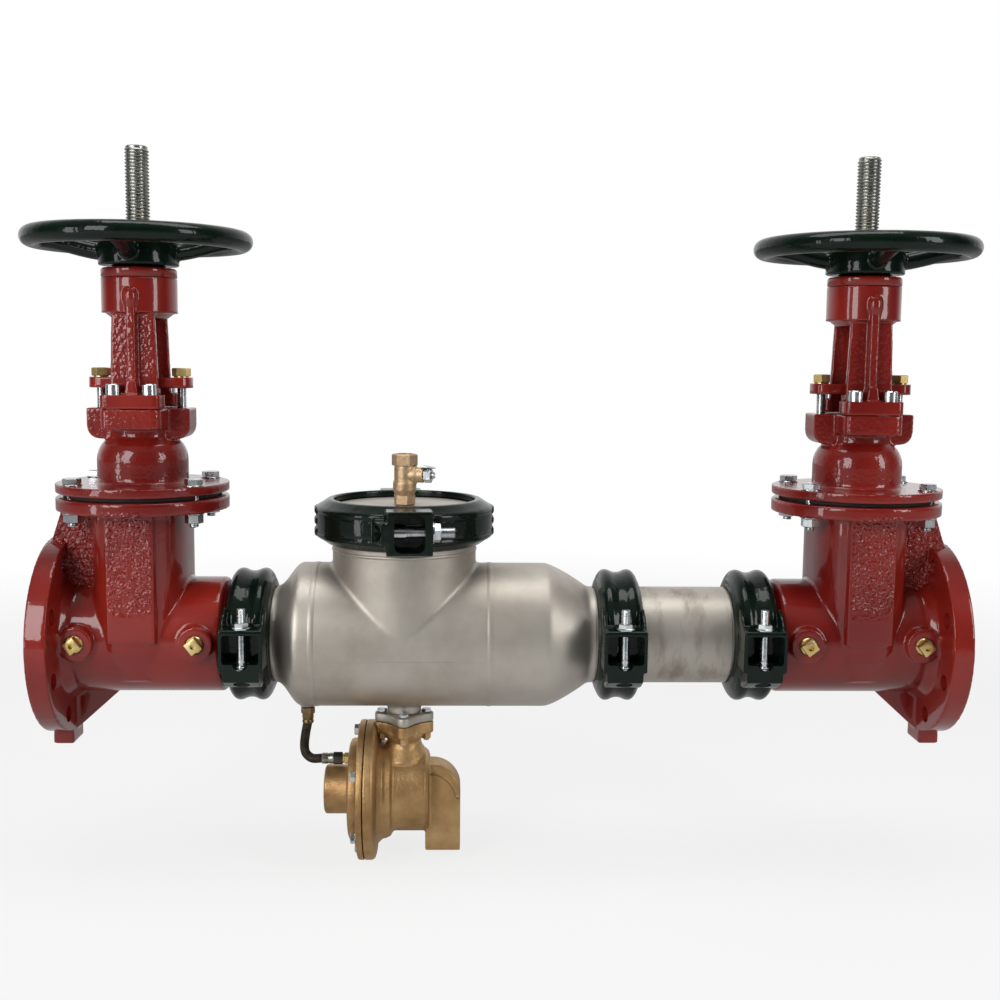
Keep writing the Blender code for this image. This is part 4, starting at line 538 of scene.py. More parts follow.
def braidTree():
    # strands wound both ways round a hose that runs along a curve
    tree, given = startTree("braid_on_path", [
        ("Path", "Geometry", None), ("Radius", "Float", 0.005), ("Strand", "Float", 0.0005),
        ("Strands", "Int", 12), ("Turns", "Float", 8.0), ("Steps", "Int", 220), ("Finish", "Material", None)])
    strandsJoined = addNode(tree, "GeometryNodeJoinGeometry")
    curve = addNode(tree, "GeometryNodeMeshToCurve", links={"Mesh": given.outputs["Path"]})
    even = addNode(tree, "GeometryNodeResampleCurve", links={"Curve": curve.outputs[0],
                                                             "Count": given.outputs["Steps"]})
    for way in (1.0, -1.0):
        copies = addNode(tree, "GeometryNodeDuplicateElements", {}, {
            "Geometry": even.outputs[0], "Amount": given.outputs["Strands"]}, domain="SPLINE")
        along = addNode(tree, "GeometryNodeSplineParameter")
        spiral = addNode(tree, "ShaderNodeMath", {1: 2 * math.pi * way}, {0: along.outputs["Factor"]},
                         operation="MULTIPLY")
        wound = addNode(tree, "ShaderNodeMath", links={0: spiral.outputs[0], 1: given.outputs["Turns"]},
                        operation="MULTIPLY")
        share = addNode(tree, "ShaderNodeMath", links={0: copies.outputs["Duplicate Index"],
                                                       1: given.outputs["Strands"]}, operation="DIVIDE")
        start = addNode(tree, "ShaderNodeMath", {1: 2 * math.pi}, {0: share.outputs[0]}, operation="MULTIPLY")
        angle = addNode(tree, "ShaderNodeMath", links={0: wound.outputs[0], 1: start.outputs[0]},
                        operation="ADD")
        normal = addNode(tree, "GeometryNodeInputNormal")
        tangent = addNode(tree, "GeometryNodeInputTangent")
        over = addNode(tree, "ShaderNodeVectorRotate", links={
            "Vector": normal.outputs[0], "Axis": tangent.outputs[0], "Angle": angle.outputs[0]},
            rotation_type="AXIS_ANGLE")
        out = addNode(tree, "ShaderNodeVectorMath", links={0: over.outputs[0]}, operation="SCALE")
        tree.links.new(given.outputs["Radius"], out.inputs["Scale"])
        moved = addNode(tree, "GeometryNodeSetPosition", links={"Geometry": copies.outputs[0],
                                                                "Offset": out.outputs[0]})
        section = addNode(tree, "GeometryNodeCurvePrimitiveCircle", {"Resolution": 5},
                          {"Radius": given.outputs["Strand"]})
        wires = addNode(tree, "GeometryNodeCurveToMesh", {"Fill Caps": True},
                        {"Curve": moved.outputs[0], "Profile Curve": section.outputs[0]})
        tree.links.new(wires.outputs[0], strandsJoined.inputs[0])
    return endTree(tree, strandsJoined.outputs[0], given)


trees = {"fasteners": fastenerTree(), "thread": threadTree(), "braid": braidTree()}


def growFrom(treeName, name, mesh, **inputs):
    # runs a tree once on an object and keeps the plain mesh that it gives
    base = bpy.data.objects.new(name, mesh or bpy.data.meshes.new(name))
    bpy.context.scene.collection.objects.link(base)
    grow = base.modifiers.new(treeName, "NODES")
    grow.node_group = trees[treeName]
    sockets = {item.name: item.identifier for item in trees[treeName].interface.items_tree
               if item.item_type == "SOCKET" and item.in_out == "INPUT"}
    for label, value in inputs.items():
        grow[sockets[label]] = value
    return settle(base)


def pointsMesh(points):
    mesh = bpy.data.meshes.new("points")
    mesh.from_pydata([tuple(p) for p in points], [], [])
    return mesh


def thread(name, radius, pitch, start, end, place=None, around=24, depth=None):
    depth = depth or pitch * 0.34
    piece = growFrom("thread", name, None, Core=radius - depth, Ridge=depth * 1.02, Pitch=pitch,
                     Length=end - start - pitch * 0.6, Around=around, Finish=finish["zinc"])
    piece.data.transform(Matrix.Translation((0, 0, start + pitch * 0.3)))
    if place is not None:
        piece.data.transform(place)
    return piece


def scatter(name, prototype, points, slotName, material, body, place=None, seed=4, twist=6.28):
    piece = growFrom("fasteners", name, pointsMesh(points), Fastener=prototype, Twist=twist, Seed=seed,
                     Finish=finish[material])
    if place is not None:
        piece.data.transform(place)
    drop(prototype)
    return done(piece, body, slotName, material, smooth=30)


def hexHead(name, radius, low, high):
    # hexagon with its corners turned off, as on a real bolt head or nut
    chamfer = radius * 0.13
    return lathe(name, [(0.0, low), (radius - chamfer * 0.6, low), (radius, low + chamfer * 0.45),
                        (radius, high - chamfer * 0.6), (radius - chamfer, high), (0.0, high)], 6)


def washer(name, radius, low, high):
    return drum(name, radius, low, high, sides=36, edge=(high - low) * 0.25)


# gate valves
valveBody = {"face": -0.107, "flange": 0.1143, "flangeThick": 0.024, "neck": 0.0673, "end": 0.1265,
             "shoulder": 0.0970, "bore": 0.051, "chestX": 0.053, "chestY": 0.073, "chestLow": -0.045,
             "chestFull": -0.004, "joint": 0.1651, "lowerFlange": 0.0155, "bonnetFlange": 0.098,
             "padX": 0.027, "padRaise": 0.0025, "bossZ": 0.003, "boss": 0.020, "bossFace": 0.0765,
             "bosses": (-0.0635, 0.071), "web": 0.026, "gusset": 0.007, "gussetReach": 0.056,
             "footY": 0.020, "footDrop": 0.0147, "holeCircle": 0.09525, "hole": 0.0095, "pocket": 0.0605,
             "pocketHalf": 0.0158, "boltX": 0.068, "boltY": 0.050, "boltHole": 0.0065,
             "plug": 0.0108}


def chestRing(v, scale, height, count=64):
    points = []
    for i in range(count):
        c, s = math.cos(2 * math.pi * i / count), math.sin(2 * math.pi * i / count)
        points.append((v["chestX"] * math.copysign(abs(c) ** 0.72, c) * scale,
                       v["chestY"] * math.copysign(abs(s) ** 0.72, s) * scale, height))
    return points


def loft(name, rings):
    shape = bmesh.new()
    rows = [[shape.verts.new(p) for p in ring] for ring in rings]
    for a, b in zip(rows, rows[1:]):
        for i in range(len(a)):
            k = (i + 1) % len(a)
            shape.faces.new((a[i], a[k], b[k], b[i]))
    shape.faces.new(rows[0][::-1])
    shape.faces.new(rows[-1])
    bmesh.ops.recalc_face_normals(shape, faces=shape.faces)
    return asObject(name, shape)


def castValveBody(v):
    face, top = v["face"], v["joint"] - v["lowerFlange"]
    run = lathe("run", solid([
        (v["flange"], face), (v["flange"], face + v["flangeThick"]),
        (v["neck"] + 0.007, face + v["flangeThick"]), (v["neck"], face + v["flangeThick"] + 0.010),
        (v["neck"], v["shoulder"] - 0.003), (v["neck"] - 0.004, v["shoulder"]),
        (line["pipe"], v["shoulder"] + 0.0005), (line["pipe"], v["end"])]), 96, alongX)
    chest = loft("chest", [chestRing(v, 0.72, v["chestLow"]), chestRing(v, 0.93, -0.018),
                           chestRing(v, 1.0, v["chestFull"]), chestRing(v, 1.0, v["joint"] - 0.008)])
    flange = drum("chestFlange", v["bonnetFlange"], top, v["joint"], sides=96)
    pads = box("pads", (-v["padX"], -v["chestY"] - v["padRaise"], v["bossZ"]),
               (v["padX"], v["chestY"] + v["padRaise"], top + 0.003))
    web = prism("web", [(-v["chestX"] + 0.02, v["joint"] - 0.008),
                        (-v["bonnetFlange"] + 0.012, v["joint"] - 0.008),
                        (face + 0.006, v["flange"] * 0.98), (face + 0.012, v["neck"] * 0.8),
                        (-v["chestX"] + 0.02, v["neck"] * 0.8)], -v["web"], v["web"], "Y")
    gusset = prism("gusset", [(face + 0.012, -v["flange"] * 0.985),
                              (face + v["flangeThick"] + 0.002, -v["flange"] * 0.985),
                              (face + v["flangeThick"] + v["gussetReach"], -v["neck"] * 0.95),
                              (face + 0.012, -v["neck"] * 0.95)], -v["gusset"], v["gusset"], "Y")
    foot = box("foot", (face + 0.0005, -v["footY"], -v["flange"] - v["footDrop"]),
               (face + v["flangeThick"], v["footY"], -v["flange"] * 0.93))
    parts = [run, chest, flange, pads, web, gusset, foot]
    for x in v["bosses"]:
        parts.append(drum("boss", v["boss"], -v["bossFace"], v["bossFace"], alongY, (x, 0, v["bossZ"])))
    piece = castFrom("valveCasting", parts, 0.0019, 3)
    grooveEnd = v["end"] - line["grooveSeat"]
    groove = grooveCutter("groove", line["pipe"], 0.003, grooveEnd - line["grooveWidth"], grooveEnd, 96, alongX)
    machine(piece, [drum("waterway", v["bore"], face - 0.01, v["end"] + 0.01, alongX, sides=72)])
    half, r = v["pocketHalf"], v["pocket"]
    outline = arc((0, 0), r, 180, 360, 32) + [(r, v["joint"] + 0.01), (-r, v["joint"] + 0.01)]
    machine(piece, [prism("pocket", outline, -half, half, "X")])
    holes = []
    for i in range(8):
        angle = math.radians(22.5 + 45 * i)
        holes.append(drum("hole", v["hole"], face - 0.01, face + v["flangeThick"] + 0.012, alongX,
                          (0, v["holeCircle"] * math.cos(angle), v["holeCircle"] * math.sin(angle)), 32))
    for at in fourCorners(v["boltX"], v["boltY"]):
        holes.append(drum("boltHole", v["boltHole"], top - 0.004, v["joint"] + 0.01, at=at, sides=24))
    machine(piece, holes)
    machine(piece, [groove])
    return piece


def markSand(piece, rule):
    # how rough the casting is at each point, read by the epoxy's material
    marks = piece.data.attributes.new("sand", "FLOAT", "POINT")
    for vertex, mark in zip(piece.data.vertices, marks.data):
        mark.value = rule(vertex.co)


def ease(value, low, high):
    t = min(1.0, max(0.0, (value - low) / (high - low)))
    return t * t * (3 - 2 * t)


def valveSand(p):
    # rough on the web's flat sides and on the chest's raised panels
    web = ease(-p.x, 0.045, 0.058) * ease(p.z, 0.030, 0.055) * ease(0.034 - abs(p.y), 0.0, 0.006) \
        * ease(0.156 - p.z, 0.0, 0.008)
    panel = ease(abs(p.y), 0.066, 0.073) * ease(0.028 - abs(p.x), 0.0, 0.007) * ease(p.z, 0.02, 0.055) \
        * ease(0.158 - p.z, 0.0, 0.006)
    return max(web, 0.85 * panel)


rawBody = castValveBody(valveBody)
markSand(rawBody, valveSand)
print("valve casting:", len(rawBody.data.polygons), "faces")


def valveBodies():
    for side in valvePlace:
        piece = copyOf(rawBody, side + "ValveCasting")
        v, front = valveBody, valveFront[side]
        low, high = span(front, v["bossFace"] - 0.016, v["bossFace"] + 0.01)
        machine(piece, [drum("tap", v["plug"], low, high, alongY, (x, 0, v["bossZ"]), 32) for x in v["bosses"]])
        piece.data.transform(valvePlace[side])
        done(piece, "assembly", "red_epoxy", stands=[side + "_valve_body"], smooth=50)
        for x, place in zip(v["bosses"], ("flange_side", "pipe_side")):
            pipePlug(side, x, place, front)
    drop(rawBody)


plug = {"square": 0.0148, "reach": 0.0100, "shank": 0.0103, "shankDepth": 0.012, "core": 0.0032,
        "coreDepth": 0.0045, "edge": 0.0009, "turn": math.radians(38)}


def pipePlug(side, x, place, front):
    # square-head plug: plain shank in the boss, cored square outside
    v, p = valveBody, plug
    half = p["square"] / 2
    base = lathe("plugBase", solid([(p["shank"], -p["shankDepth"]), (p["shank"], -0.0004),
                                    (p["shank"] - 0.0012, 0.0012)]), 40)
    square = prism("plugSquare", [(half, half), (-half, half), (-half, -half), (half, -half)], -0.002, p["reach"],
                   edge=p["edge"])
    core = drum("plugCore", p["core"], p["reach"] - p["coreDepth"], p["reach"] + 0.004, sides=24)
    machine(square, [core], "EXACT")
    piece = merge(f"{side}Plug_{place}", [base, square])
    stand = Matrix.Rotation(math.radians(90 if front < 0 else -90), 4, "X")
    piece.data.transform(Matrix.Rotation(p["turn"], 4, "Z"))
    piece.data.transform(valvePlace[side] @ Matrix.Translation((x, front * v["bossFace"], v["bossZ"])) @ stand)
    done(piece, "assembly", "brass", stands=[f"{side}_plug_{place}"], smooth=30)


valveBodies()
print("valve bodies done")

bonnet = {"base": 0.1697, "flangeTop": 0.1804, "flange": 0.098, "dome": 0.0515, "boxLow": 0.231,
          "boxTop": 0.2664, "earX": 0.0585, "earY": 0.020, "padX": 0.034, "padY": 0.060, "bore": 0.022,
          "boxDepth": 0.0207, "studX": 0.046, "stud": 0.0058, "earRound": 0.0145, "inside": 0.044}


def castBonnet(b):
    up = b["flangeTop"]
    dome = lathe("dome", solid([
        (b["flange"], b["base"]), (b["flange"], up), (b["dome"] + 0.003, up), (b["dome"], up + 0.004),
        (b["dome"], up + 0.026), (b["dome"] * 0.985, up + 0.033), (b["dome"] * 0.955, up + 0.038),
        (b["dome"] * 0.89, up + 0.0445), (b["dome"] * 0.80, up + 0.0490),
        (b["dome"] * 0.72, b["boxLow"] + 0.002),
        (b["dome"] * 0.70, b["boxTop"])]), 96)
    middle = (b["boxTop"] + b["boxLow"]) / 2
    earOutline = roundedOutline(b["earX"], (b["boxTop"] - b["boxLow"]) / 2, b["earRound"])
    ears = prism("ears", [(x, middle + z) for x, z in earOutline], -b["earY"], b["earY"], "Y")
    roof = box("roof", (-b["earX"], -b["earY"], b["boxTop"] - 0.015), (b["earX"], b["earY"], b["boxTop"]))
    pads = prism("pads", roundedOutline(b["padX"], b["padY"], 0.010), b["boxLow"] + 0.013, b["boxTop"])
    piece = castFrom("bonnetCasting", [dome, ears, roof, pads], 0.0015, 3)
    for cutter in (drum("box", b["bore"] + 0.0002, b["boxTop"] - b["boxDepth"], b["boxTop"] + 0.01, sides=48),
                   drum("stemWay", line["stemWay"], b["base"] - 0.01, b["boxTop"] - 0.01, sides=48, turn=0.02),
                   drum("inside", b["inside"], b["base"] - 0.01, b["flangeTop"] + 0.024, sides=64)):
        machine(piece, [cutter])
    machine(piece, [drum("studHole", b["stud"], b["boxLow"] + 0.010, b["boxTop"] + 0.01,
                         at=(sx * b["studX"], 0, 0), sides=24) for sx in (-1, 1)])
    return piece


def bonnets():
    raw = castBonnet(bonnet)
    markSand(raw, lambda p: 0.25)
    for side in valvePlace:
        piece = copyOf(raw, side + "BonnetCasting", valvePlace[side])
        done(piece, "assembly", "red_epoxy", stands=[side + "_bonnet"], smooth=50)
        gasket = lathe(side + "Gasket", [(0.0632, 0.1654), (0.0890, 0.1654), (0.0895, 0.1660), (0.0895, 0.1688),
                                         (0.0890, 0.1694), (0.0632, 0.1694)], 96, place=valvePlace[side])
        done(gasket, "assembly", "rubber", stands=[side + "_bonnet_gasket"])
    drop(raw)


bonnets()
print("bonnets done")

bonnetBolt = {"radius": 0.0055, "head": 0.0104, "headLow": 0.1816, "headHigh": 0.1885, "washer": 0.0114,
              "nutTop": 0.1481, "nutHeight": 0.0100, "pitch": 0.0018, "end": 0.1334}


def bonnetBolts():
    s = bonnetBolt
    head = hexHead("head", s["head"], s["headLow"], s["headHigh"])
    topWasher = washer("topWasher", s["washer"], s["headLow"] - 0.0011, s["headLow"])
    lowWasher = washer("lowWasher", s["washer"], s["nutTop"], s["nutTop"] + 0.0013)
    nut = hexHead("nut", s["head"], s["nutTop"] - s["nutHeight"], s["nutTop"])
    shank = drum("shank", s["radius"], s["nutTop"], s["headLow"], sides=24)
    tail = thread("tail", s["radius"], s["pitch"], s["end"], s["nutTop"] - 0.001)
    proto = merge("bonnetBolt", [head, topWasher, lowWasher, nut, shank, tail])
    for side, seed in (("inlet", 4), ("outlet", 9)):
        scatter(side + "BonnetBolts", copyOf(proto, "bonnetBolt"),
                fourCorners(valveBody["boltX"], valveBody["boltY"]), "zinc", "zinc", "assembly",
                valvePlace[side], seed)
    drop(proto)


bonnetBolts()

gland = {"low": 0.2893, "thick": 0.0121, "reach": 0.0585, "depth": 0.0185, "sleeve": 0.0216, "middle": 0.0250,
         "studX": 0.046, "stud": 0.0055, "studLow": 0.2420, "nut": 0.0108, "nutHeight": 0.0108, "pitch": 0.0017}


def glands():
    g = gland
    flange = prism("flange", roundedOutline(g["reach"], g["depth"], 0.0150), g["low"], g["low"] + g["thick"])
    middle = drum("middle", g["middle"], g["low"], g["low"] + g["thick"])
    neck = drum("neck", g["sleeve"], 0.250, g["low"] + 0.003)
    raw = castFrom("glandCasting", [flange, middle, neck], 0.0011, 2)
    machine(raw, [drum("bore", line["stemWay"], 0.24, 0.31, sides=40)])
    machine(raw, [drum("hole", 0.0060, 0.28, 0.31, at=(sx * g["studX"], 0, 0), sides=24) for sx in (-1, 1)])
    markSand(raw, lambda p: 0.15)
    for side in valvePlace:
        piece = copyOf(raw, side + "GlandCasting", valvePlace[side])
        done(piece, "assembly", "red_epoxy", stands=[side + "_gland"], smooth=50)
        high = g["low"] + g["thick"]
        studs = [thread("stud", g["stud"], g["pitch"], g["studLow"], high + g["nutHeight"] - 0.0010,
                        Matrix.Translation((sx * g["studX"], 0, 0)), around=18) for sx in (-1, 1)]
        piece = merge(side + "GlandStuds", studs)
        piece.data.transform(valvePlace[side])
        done(piece, "assembly", "zinc", stands=[side + "_gland_bolt_a", side + "_gland_bolt_b"], smooth=30)
        nut = merge("glandNut", [hexHead("nut", g["nut"], high + 0.0012, high + g["nutHeight"]),
                                 drum("seat", g["nut"] * 0.80, high + 0.0001, high + 0.0020)])
        scatter(side + "GlandNuts", nut, [(sx * g["studX"], 0, 0) for sx in (-1, 1)], "brass", "brass",
                "assembly", valvePlace[side], 3 if side == "inlet" else 8)
    drop(raw)


glands()

yoke = {"footLow": 0.2667, "footHigh": 0.2825, "footX": 0.034, "footInner": 0.0265, "footOuter": 0.060,
        "armFoot": 0.027, "armTop": 0.0235, "armInner": 0.0275, "armThick": 0.0075, "rib": 0.005,
        "ribRaise": 0.0115, "collarLow": 0.3742, "collarTop": 0.4140, "collar": 0.0425, "nut": 0.0246,
        "lumpAt": 0.3920, "recess": 0.0360, "recessLow": 0.3995, "screwX": 0.020, "screwY": 0.0475,
        "screw": 0.0082, "screwSocket": 0.0042, "screwHigh": 0.2945, "capTop": 0.4247}


def castYoke(y):
    collar = drum("collar", y["collar"], y["collarLow"], y["collarTop"], sides=80)
    skirt = lathe("skirt", solid([(y["collar"] - 0.012, y["collarLow"] - 0.006),
                                  (y["collar"] - 0.004, y["collarLow"]),
                                  (y["collar"] - 0.002, y["collarLow"] + 0.01)]), 80)
    parts = [collar, skirt]
    for sy in (-1, 1):
        near, far = span(sy, y["footInner"], y["footOuter"])
        parts.append(prism("foot", roundedOutline(y["footX"], (far - near) / 2, 0.008), y["footLow"],
                           y["footHigh"], at=(0, (near + far) / 2, 0)))
        near, far = span(sy, y["armInner"], y["armInner"] + y["armThick"])
        parts.append(prism("arm", [(-y["armFoot"], y["footLow"] + 0.006), (y["armFoot"], y["footLow"] + 0.006),
                                   (y["armFoot"], y["footHigh"] + 0.006),
                                   (y["armTop"], y["collarLow"] + 0.012), (-y["armTop"], y["collarLow"] + 0.012),
                                   (-y["armFoot"], y["footHigh"] + 0.006)], near, far, "Y"))
        rib, root, wide = y["rib"], y["footHigh"] - 0.004, y["rib"] * 1.6
        ribIn, out = y["armInner"] + 0.003, y["armInner"] + y["armThick"] + y["ribRaise"]
        parts.append(prism("rib", [(-rib, root), (rib, root), (rib, y["collarLow"] + 0.022),
                                   (-rib, y["collarLow"] + 0.022)], *span(sy, ribIn, out), "Y"))
        parts.append(prism("ribBase", [(-wide, root), (wide, root), (rib, y["footHigh"] + 0.016),
                                       (-rib, y["footHigh"] + 0.016)], *span(sy, ribIn, out + 0.0035), "Y"))
        # the rib ends in a rounded lump on the collar
        parts.append(lathe("lump", [(0.0, -0.0120), (0.0062, -0.0100), (0.0080, -0.0040), (0.0082, 0.0030),
                                    (0.0062, 0.0085), (0.0, 0.0105)], 24, at=(0, sy * (out - 0.0055), y["lumpAt"])))
    piece = castFrom("yokeCasting", parts, 0.0013, 3)
    machine(piece, [drum("nutWay", y["nut"], y["collarLow"] - 0.02, y["collarTop"] - 0.005, sides=48)])
    machine(piece, [drum("recess", y["recess"], y["recessLow"], y["collarTop"] + 0.01, sides=64)])
    machine(piece, [drum("screwWay", y["screw"] + 0.0012, y["footHigh"] - 0.0012, y["footHigh"] + 0.012, at=at,
                         sides=28) for at in fourCorners(y["screwX"], y["screwY"])])
    return piece


def yokes():
    y = yoke
    raw = castYoke(y)
    markSand(raw, lambda p: 0.12 + 0.20 * ease(p.z, 0.296, 0.304) * ease(0.378 - p.z, 0.0, 0.008))
    for side in valvePlace:
        piece = copyOf(raw, side + "YokeCasting", valvePlace[side])
        done(piece, "assembly", "red_epoxy", stands=[side + "_yoke"], smooth=50)
        seat, top, inner, outer = y["collarTop"] + 0.0004, y["capTop"], y["nut"], y["collar"]
        cap = lathe(side + "YokeCap", [(inner, seat), (outer - 0.0008, seat), (outer, y["collarTop"] + 0.0014),
                                       (outer, top - 0.0020), (outer - 0.0020, top), (inner + 0.0005, top),
                                       (inner, top - 0.0005)], 96, place=valvePlace[side])
        markSand(cap, lambda p: 0.1)
        done(cap, "assembly", "red_epoxy", stands=[side + "_yoke_cap"])
        low, high, radius, socket = y["footHigh"] - 0.0010, y["screwHigh"], y["screw"], y["screwSocket"]
        head = lathe("screw", [(0.0, low), (radius, low), (radius, high - 0.0010), (radius - 0.0010, high),
                               (socket + 0.0004, high), (socket, high - 0.0010), (socket, high - 0.0060),
                               (0.0, high - 0.0060)], 48)
        scatter(side + "YokeScrews", head, fourCorners(y["screwX"], y["screwY"]), "zinc", "zinc", "assembly",
                valvePlace[side], 5)
    drop(raw)


yokes()
print("glands and yokes done")

stem = {"radius": 0.0125, "proudRadius": 0.0136, "proud": 0.4220, "pitch": 0.00380, "top": 0.562,
        "threadLow": 0.3060, "headLow": 0.178, "headX": 0.0140, "headY": 0.0175, "headHigh": 0.186,
        "nutFlange": 0.0355, "nutRadius": 0.0240, "nutLow": 0.3750, "flangeLow": 0.3997,
        "flangeHigh": 0.4137, "drive": 0.0213, "driveHigh": 0.4497, "nutThread": 0.0183, "nutTop": 0.4615,
        "bore": 0.0140}


def stems():
    s = stem
    for side in valvePlace:
        head = box("head", (-s["headX"], -s["headY"], s["headLow"]), (s["headX"], s["headY"], s["headHigh"]),
                   edge=0.0008)
        lower = drum("lower", s["radius"], s["headHigh"] - 0.001, s["threadLow"] + 0.002, sides=40)
        # the thread stands a little prouder above the wheel, as in the photo
        upper = merge("upper", [
            thread("hidden", s["radius"], s["pitch"], s["threadLow"], s["proud"] + 0.004, around=48,
                   depth=0.00125),
            thread("shown", s["proudRadius"], s["pitch"], s["proud"], s["top"] - 0.0015, around=56,
                   depth=0.00150)])
        tipRadius = s["proudRadius"] - 0.0014
        tip = lathe("tip", solid([(tipRadius, s["top"] - 0.005), (tipRadius, s["top"] - 0.001),
                                  (s["proudRadius"] - 0.0026, s["top"] - 0.0001)]), 48)
        piece = merge(side + "StemThread", [head, lower, upper, tip])
        piece.data.transform(valvePlace[side])
        done(piece, side + "_stem_gate", "stem_steel", stands=[side + "_stem"], smooth=35)
        nut = lathe("nut", [(s["bore"], s["nutLow"]), (s["nutRadius"], s["nutLow"]),
                            (s["nutRadius"], s["flangeLow"]),
                            (s["nutFlange"], s["flangeLow"]), (s["nutFlange"], s["flangeHigh"]),
                            (s["nutThread"], s["flangeHigh"]), (s["nutThread"], s["nutTop"] - 0.001),
                            (s["nutThread"] - 0.001, s["nutTop"]), (s["bore"], s["nutTop"])], 64)
        inner, low = s["nutThread"] - 0.001, s["flangeHigh"] - 0.001
        drive = lathe("drive", [(inner, low), (s["drive"], low), (s["drive"], s["driveHigh"]),
                                (inner, s["driveHigh"])], 6)
        piece = merge(side + "StemNut", [nut, drive])
        piece.data.transform(valvePlace[side])
        done(piece, side + "_wheel", "bronze", stands=[side + "_stem_nut"], smooth=30)


stems()

wheel = {"radius": 0.1289, "tubeX": 0.0119, "tubeZ": 0.0115, "rimZ": 0.4574, "hub": 0.0450, "hubLow": 0.4275,
         "hubTop": 0.4505, "rimTop": 0.4570, "cup": 0.0312, "boss": 0.029, "bossLow": 0.4251, "spokes": 4,
         "spoke": 0.0096, "nut": 0.027, "nutHigh": 0.4608, "drive": 0.0219}


def spokeTree():
    # one arm drawn along a rising curve, repeated round the hub
    tree, given = startTree("wheel_spokes", [
        ("Arms", "Int", 4), ("Inner", "Float", 0.03), ("Outer", "Float", 0.118), ("Low", "Float", 0.437),
        ("High", "Float", 0.457), ("Thick", "Float", 0.009), ("Finish", "Material", None)])
    start = addNode(tree, "ShaderNodeCombineXYZ", links={"X": given.outputs["Inner"], "Z": given.outputs["Low"]})
    mid = addNode(tree, "ShaderNodeMath", {2: 0.0}, {0: given.outputs["Inner"]}, operation="MULTIPLY_ADD")
    mid.inputs[1].default_value = 2.0
    bend = addNode(tree, "ShaderNodeCombineXYZ", links={"X": mid.outputs[0], "Z": given.outputs["Low"]})
    reach = addNode(tree, "ShaderNodeMath", {1: 0.030}, {0: given.outputs["Outer"]}, operation="SUBTRACT")
    rise = addNode(tree, "ShaderNodeCombineXYZ", links={"X": reach.outputs[0], "Z": given.outputs["High"]})
    end = addNode(tree, "ShaderNodeCombineXYZ", links={"X": given.outputs["Outer"], "Z": given.outputs["High"]})
    path = addNode(tree, "GeometryNodeCurvePrimitiveBezierSegment", {"Resolution": 24}, {
        "Start": start.outputs[0], "Start Handle": bend.outputs[0], "End Handle": rise.outputs[0],
        "End": end.outputs[0]})
    section = addNode(tree, "GeometryNodeCurvePrimitiveCircle", {"Resolution": 20},
                      {"Radius": given.outputs["Thick"]})
    arm = addNode(tree, "GeometryNodeCurveToMesh", {"Fill Caps": True},
                  {"Curve": path.outputs[0], "Profile Curve": section.outputs[0]})
    posts = addNode(tree, "GeometryNodeMeshCircle", {"Radius": 0.00001}, {"Vertices": given.outputs["Arms"]})
    order = addNode(tree, "GeometryNodeInputIndex")
    share = addNode(tree, "ShaderNodeMath", links={0: order.outputs[0], 1: given.outputs["Arms"]},
                    operation="DIVIDE")
    angle = addNode(tree, "ShaderNodeMath", {1: 2 * math.pi}, {0: share.outputs[0]}, operation="MULTIPLY")
    turn = addNode(tree, "ShaderNodeCombineXYZ", links={"Z": angle.outputs[0]})
    spin = addNode(tree, "FunctionNodeEulerToRotation", links={"Euler": turn.outputs[0]})
    placed = addNode(tree, "GeometryNodeInstanceOnPoints", links={
        "Points": posts.outputs["Mesh"], "Instance": arm.outputs[0], "Rotation": spin.outputs[0]})
    return endTree(tree, placed.outputs[0], given)


trees["spokes"] = spokeTree()


def wheels():
    w = wheel
    rimRadius = w["radius"] - w["tubeX"]
    profile = [(rimRadius + w["tubeX"] * math.cos(a), w["rimZ"] + w["tubeZ"] * math.sin(a))
               for a in (2 * math.pi * i / 24 for i in range(24))]
    rim = lathe("rim", profile, 128)
    hub = lathe("hub", solid([(w["boss"], w["bossLow"]), (w["boss"], w["hubLow"]), (w["hub"] - 0.001, w["hubLow"]),
                              (w["hub"], w["hubLow"] + 0.001), (w["hub"], w["rimTop"] - 0.0012),
                              (w["hub"] - 0.0012, w["rimTop"])]), 80)
    arms = growFrom("spokes", "arms", None, Arms=w["spokes"], Inner=w["hub"] - 0.014, Outer=rimRadius,
                    Low=w["hubLow"] + 0.0150, High=w["rimZ"] - 0.0005, Thick=w["spoke"],
                    Finish=finish["black_enamel"])
    raw = castFrom("wheelCasting", [rim, hub, arms], 0.0016, 2)
    machine(raw, [drum("cup", w["cup"], w["hubTop"], w["rimTop"] + 0.01, sides=48)])
    machine(raw, [drum("driveHole", w["drive"], w["bossLow"] - 0.01, w["hubTop"] + 0.01, sides=6)])
    for side in valvePlace:
        piece = copyOf(raw, side + "Wheel", valvePlace[side])
        done(piece, side + "_wheel", "black_enamel", stands=[side + "_handwheel"], smooth=50)
        inner, low = stem["nutThread"] + 0.0003, w["hubTop"] + 0.0003
        nut = lathe("nut", [(inner, low), (w["nut"] - 0.002, low), (w["nut"], w["hubTop"] + 0.0015),
                            (w["nut"], w["nutHigh"] - 0.002), (w["nut"] - 0.003, w["nutHigh"]),
                            (inner, w["nutHigh"])], 6)
        nut.name = side + "WheelNut"
        nut.data.transform(valvePlace[side])
        done(nut, side + "_wheel", "bronze", stands=[side + "_wheel_nut"], smooth=30)
    drop(raw)


wheels()
print("stems and wheels done")


